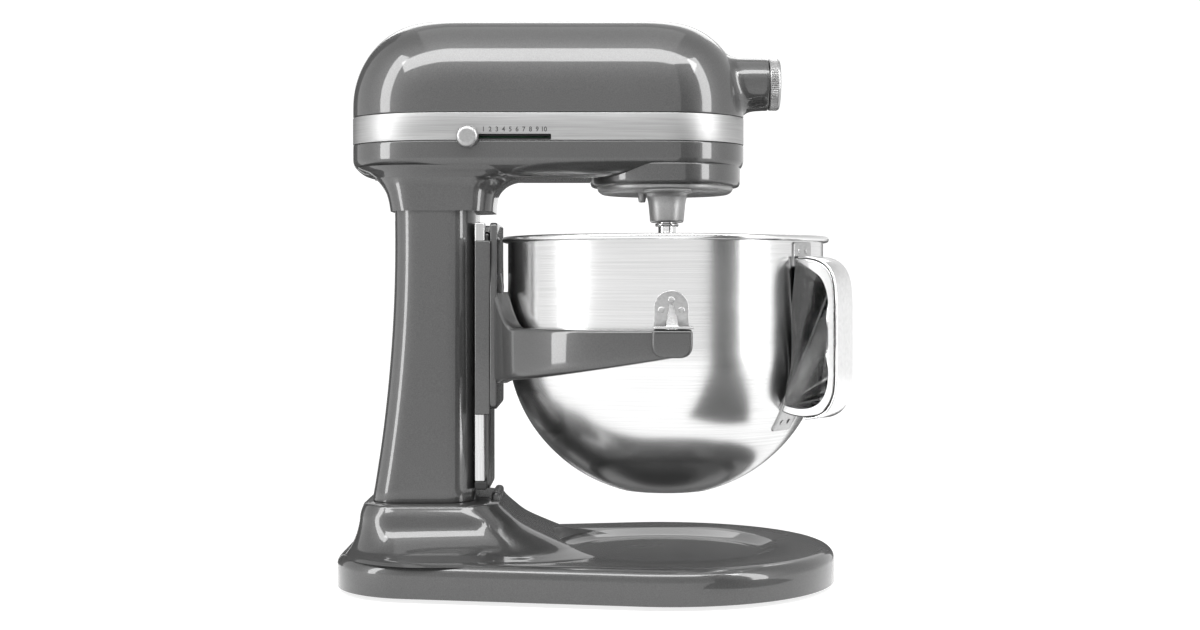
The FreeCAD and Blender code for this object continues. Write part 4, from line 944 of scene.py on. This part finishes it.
def handle():
    outer = [(119.4, 241.3), (128, 241.1), (137, 239.4), (144.5, 235.0), (149.0, 227),
             (150.6, 214), (150.8, 200), (150.8, 170), (150.6, 156), (149.0, 144.5),
             (144.0, 135.8), (136, 131.0), (126, 129.5), (117, 130.2), (108.5, 132.6)]
    inner = [(110.8, 139.2), (117, 137.4), (125, 136.7), (133.0, 138.2), (139.6, 142.4),
             (143.4, 149.5), (144.9, 158), (144.6, 166), (143.0, 174), (144.4, 182),
             (145.0, 189), (143.2, 196), (144.2, 204), (144.9, 211), (143.2, 219.5), (139.0, 227),
             (132, 232.0), (126, 233.6), (119.4, 234.2)]
    outline = [*flow_line(outer, 5), *flow_line(inner, 5)]
    grip = moved(slab(outline, -HANDLE_HALF, HANDLE_HALF, 1.6, 5), at_handle)
    piece("handle_grip", *grip, "bowl", "handle_steel", ["bowl_handle"])
    path = [(121.4, 241.9), (128.4, 241.9), (137.4, 240.2), (145.1, 235.5), (149.8, 227.2),
            (151.6, 214), (151.8, 200), (151.8, 170), (151.6, 156), (149.8, 144.2),
            (144.6, 135.1), (136.3, 130.1), (127, 128.7)]
    centre = flow_line(path, 5)
    outline = [*shifted_line(centre, 0.95), *reversed(shifted_line(centre, -0.75))]
    half = HANDLE_HALF - 1.4
    strip = moved(slab(outline, -half, half, 0.7, 3), at_handle)
    piece("handle_outer_strip", *strip, "bowl", "handle_steel", ["handle_strip"])
    # A near-black strip in the groove between the outer strip and the grip: painted shade in the
    # groove
    gap = [*shifted_line(centre, -0.4), *reversed(shifted_line(centre, -1.6))]
    half = HANDLE_HALF - 0.9
    line = moved(slab(gap, -half, half, 0.1, 1), at_handle)
    piece("handle_gap_painted_shade", *line, "bowl", "handle_steel", look="dark_gap")


def handle_plates():
    """The plates that weld the handle to the bowl."""
    wall = on_wall(HANDLE_TURN)
    plates = []
    for low, high, dots in ((235, 253, 246.5), (118, 139, 124)):
        outline = split_sides(rectangle(-12, 12, low, high, 2.4, 4), 4)
        plates.append(moved(slab(outline, -0.2, PLATE_THICK, 0.5, 3), wall))
        plates += [moved(weld_dot(across, dots, PLATE_THICK, 1.4), wall) for across in (-5, 5)]
    piece("handle_weld_plates", *joined(*plates), "bowl", "handle_steel", ["handle_plates"],
          "bracket_steel")


# Bowl support and its lift

def arm_levels(x):
    """The arm's bottom and top at a distance along it."""
    root = max(0.0, (-112 - x) / 12)
    bottom = 154 + (max(x, -112) + 112) / 6 - 6 * root ** 2
    top = ARM_TOP + 38 * max(0.0, (-106 - x) / 18) ** 2
    return bottom, top


def yoke_arm(side):
    """One arm, bent round the bowl from the plate to its side."""
    steps = 40
    middle = (ARM_INNER + ARM_OUTER) / 2
    rows = []
    for step in range(steps + 1):
        angle = math.radians(161 - 71 * step / steps)
        bottom, top = arm_levels(middle * math.cos(angle))
        section = rounded([(ARM_INNER, bottom), (ARM_OUTER, bottom), (ARM_OUTER, top),
                           (ARM_INNER, top)], [3, 5, 3.4, 3], 5, True)
        rows.append([(r * math.cos(angle), side * r * math.sin(angle), z) for r, z in section])
    return skin(rows)


def yoke():
    front, back = YOKE_FRONT, YOKE_FRONT - YOKE_THICK
    half, top_half = YOKE_HALF, 40.8
    outline = rounded([(-half, 132), (half, 132), (half, 226), (top_half, 240), (top_half, 268),
                       (-top_half, 268), (-top_half, 240), (-half, 226)],
                      [6, 6, 8, 8, 4, 4, 8, 8], 6, True)
    shapes = [moved(slab(outline, back, front, 1.4, 4), facing_x)]
    for side in (-1, 1):
        edges = sorted((side * half, side * (half - 4.9)))
        shapes.append(slab(rectangle(-140, back + 0.4, *edges, 1.4, 4), 128, 255, 1.2, 4))
        shapes.append(yoke_arm(side))
        cup_top = ARM_TOP + 0.5
        cup = rounded([(-14, cup_top), (-14, 173), (14, 173), (14, cup_top)], [3, 10, 13, 3], 8,
                      True)
        edges = sorted((side * 119.7, side * 135.6))
        shapes.append(moved(slab(cup, *edges, 2.6, 6), facing_y))
    piece("yoke_body", *joined(*shapes), "bowl_support", "body_paint", ["bowl_support"])
    fork = rounded([(-129, 197), (-129, 219), (-194, 219), (-194, 214.6), (-172, 214.6),
                    (-172, 201.4), (-194, 201.4), (-194, 197)], [0, 0, 1, 1, 3, 3, 1, 1], 4, True)
    lug = moved(slab(fork, -5, 5, 0.8, 3), facing_y)
    piece("yoke_lug", *lug, "bowl_support", "body_paint", ["bowl_support"])


def yoke_fittings():
    """The pins that centre the bowl's brackets, and the spring that holds its back button."""
    high = corners("locating_pins")[1]
    profile = rounded([(184, 0), (184, PIN_RADIUS), (high.z - 1.8, PIN_RADIUS), (high.z, 2.6),
                       (high.z, 0)], [0, 0, 1.2, 0.8, 0], 4)
    pins = [moved(lathe(profile, 48), shifted(0, side * PIN_CENTRE)) for side in (-1, 1)]
    piece("centring_pins", *joined(*pins), "bowl_support", "chrome", ["locating_pins"])
    low = corners("bowl_latch_spring")[0]
    blade = rounded([(low.x, 203), (low.x + 1, 203), (low.x + 2.4, 222), (low.x + 0.8, 231),
                     (low.x, 231), (low.x + 1.4, 222)], [0, 0.3, 2, 0.2, 0.2, 2], 4, True)
    leaf = moved(slab(blade, -7, 7, 0.25, 2), facing_y)
    piece("latch_leaf", *leaf, "bowl_support", "machined_steel", ["bowl_latch_spring"])


def lever():
    low, high = corners("lift_lever")
    reach = 84.0
    arm = [(-8.6, -3), (-8, 6), (-6.4, 60), (-6.2, reach), (-4, reach + 5), (0, reach + 6.6),
           (4, reach + 5), (6.2, reach), (6.4, 60), (8, 6), (8.6, -3), (5, -8.4), (0, -10),
           (-5, -8.4)]
    blade = moved(slab(flow_line(arm, 4, True), high.y - 6.4, high.y - 0.2, 1.6, 4),
                  lambda u, v, w: (PIVOT_X + u, w, PIVOT_Z + v))
    profile = rounded([(low.y, 5), (low.y, 10), (low.y + 1, 11), (high.y - 1.4, 11),
                       (high.y, 9.2), (high.y, 0)], [0, 0.8, 0.8, 1, 1, 0], 4)
    boss = moved(lathe([(low.y, 0), *profile], 72), along_y(PIVOT_X, PIVOT_Z))
    piece("lever_arm", *joined(blade, boss), "lift_lever", "chrome", ["lift_lever"])
    low, high = corners("lever_knob")
    profile = rounded([(low.y, 0), (low.y, 5), (low.y + 3, 5.6), (low.y + 9, 9.4),
                       (high.y - 6, 9.5), (high.y - 1, 6.4), (high.y, 0)],
                      [0, 0.6, 3, 4, 4, 4, 0], 6)
    grip = moved(lathe(profile, 72), along_y(PIVOT_X, (low.z + high.z) / 2))
    piece("lever_grip", *grip, "lift_lever", "silver_knob", ["lever_knob"])


for make in (base, pedestal, column, rails, feet, cover, hub_neck, housing, band, speed_knob,
             hub_cap, hub_screw, planetary_ring, planet, beater_shaft, bowl_shell, brackets,
             handle, handle_plates, yoke, yoke_fittings, lever):
    make()

# The CAD parts that stay take the finish of their own slot.
for subpart in frame["record"]["subparts"]:
    carried = frame["nodes"][subpart["node"]]
    for place in carried.material_slots:
        place.material = LOOKS[subpart["material_slot"]]


# Studio, in metres

TARGET = Vector((-0.02, 0.0, 0.22))
FLOOR_HALF = 6.0
FLOOR_GLOW = 0.79
ROOM_LOW, ROOM_HIGH, ROOM_TO_CAMERA = 1.15, 0.5, 1.1
FLAG_DISTANCE = 0.7
FLAG_FLOOR_REACH, FLAG_FLOOR_WIDTH = 0.74, 0.6
CAMERA_PLACE = (AXIS_X - 0.0489, -1.3206, 0.225)
LENS, LENS_SHIFT = 52.65, -0.0279


def floor():
    """A pale floor with a glow of its own, so it stays as bright as the room."""
    half = FLOOR_HALF
    mesh = bpy.data.meshes.new("studio_floor")
    mesh.from_pydata([(-half, -half, 0), (half, -half, 0), (half, half, 0), (-half, half, 0)], [],
                     [(0, 1, 2, 3)])
    mesh.materials.append(finish("pale_floor", grey(0.34), grey(0.36), 0.0, (0.8, 0.9), (3, 3, 3),
                                 0.0, Emission_Color=(1, 1, 1, 1), Emission_Strength=FLOOR_GLOW))
    placed("studio_floor", mesh)


def soft_box(name, azimuth, elevation, distance, width, height, power):
    """An area light aimed at the mixer; azimuth 0 is the camera's side, positive to its right."""
    light = bpy.data.lights.new(name, "AREA")
    light.shape = "RECTANGLE"
    light.size = width
    light.size_y = height
    light.energy = power
    made = placed(name, light)
    across, up = math.radians(azimuth), math.radians(elevation)
    away = Vector((math.sin(across) * math.cos(up), -math.cos(across) * math.cos(up), math.sin(up)))
    made.location = TARGET + away * distance
    made.rotation_euler = away.to_track_quat("Z", "Y").to_euler()
    made.visible_camera = False


def flag(name, azimuth, distance, width, height):
    """A dark card that stands on the floor, with a strip of card on the floor in front of it.

    The mixer reflects it, and the camera doesn't see it."""
    across = math.radians(azimuth)
    middle = Vector((AXIS_X + math.sin(across) * distance, -math.cos(across) * distance, 0))
    along = Vector((math.cos(across), math.sin(across), 0)) * width / 2
    up = Vector((0, 0, height))
    near = (Vector((AXIS_X, 0, 0)) - middle) * FLAG_FLOOR_REACH + Vector((0, 0, MM))
    narrow = along * FLAG_FLOOR_WIDTH
    mesh = bpy.data.meshes.new(name)
    mesh.from_pydata([middle - along, middle + along, middle + along + up, middle - along + up,
                      middle - narrow + near, middle + narrow + near],
                     [], [(0, 1, 2, 3), (4, 5, 1, 0)])
    mesh.materials.append(LOOKS["card"])
    made = placed(name, mesh)
    made.visible_camera = False
    made.visible_shadow = False


def world():
    """A bright room to the lens, and to the mixer one that is darker higher up."""
    room = bpy.data.worlds.new("studio")
    bpy.context.scene.world = room
    room.use_nodes = True
    tree = room.node_tree
    background = tree.nodes["Background"]
    background.inputs["Color"].default_value = (1, 1, 1, 1)
    place = tree.nodes.new("ShaderNodeTexCoord")
    split = tree.nodes.new("ShaderNodeSeparateXYZ")
    link(tree, place, "Generated", split, "Vector")
    ramp = tree.nodes.new("ShaderNodeMapRange")
    ramp.inputs["From Min"].default_value = -0.2
    ramp.inputs["From Max"].default_value = 0.9
    ramp.inputs["To Min"].default_value = ROOM_LOW
    ramp.inputs["To Max"].default_value = ROOM_HIGH
    link(tree, split, "Z", ramp, "Value")
    path = tree.nodes.new("ShaderNodeLightPath")
    choose = tree.nodes.new("ShaderNodeMix")
    choose.inputs["B"].default_value = ROOM_TO_CAMERA
    link(tree, ramp, "Result", choose, "A")
    link(tree, path, "Is Camera Ray", choose, "Factor")
    tree.links.new(choose.outputs["Result"], background.inputs["Strength"])


def camera():
    view = bpy.data.cameras.new("camera")
    view.lens = LENS
    view.sensor_width = 36.0
    view.shift_y = LENS_SHIFT
    made = placed("camera", view)
    made.location = CAMERA_PLACE
    made.rotation_euler = (QUARTER, 0, 0)
    bpy.context.scene.camera = made


floor()
world()
soft_box("top_box", 0, 57, 1.3, 2.3, 0.36, 22)
soft_box("right_strip", 62, 18, 1.4, 0.3, 1.7, 12)
soft_box("left_strip", -68, 18, 1.4, 0.3, 1.7, 12)
soft_box("overhead", 0, 88, 1.6, 1.4, 1.4, 4)
soft_box("back_box", 180, 40, 1.6, 1.6, 0.5, 5)
flag("right_flag", 39, FLAG_DISTANCE, 0.28, 1.0)
flag("left_flag", -128, FLAG_DISTANCE, 0.3, 1.0)
flag("back_flag", 180, 0.9, 1.1, 0.3)
camera()
bpy.context.scene.view_settings.view_transform = "Standard"
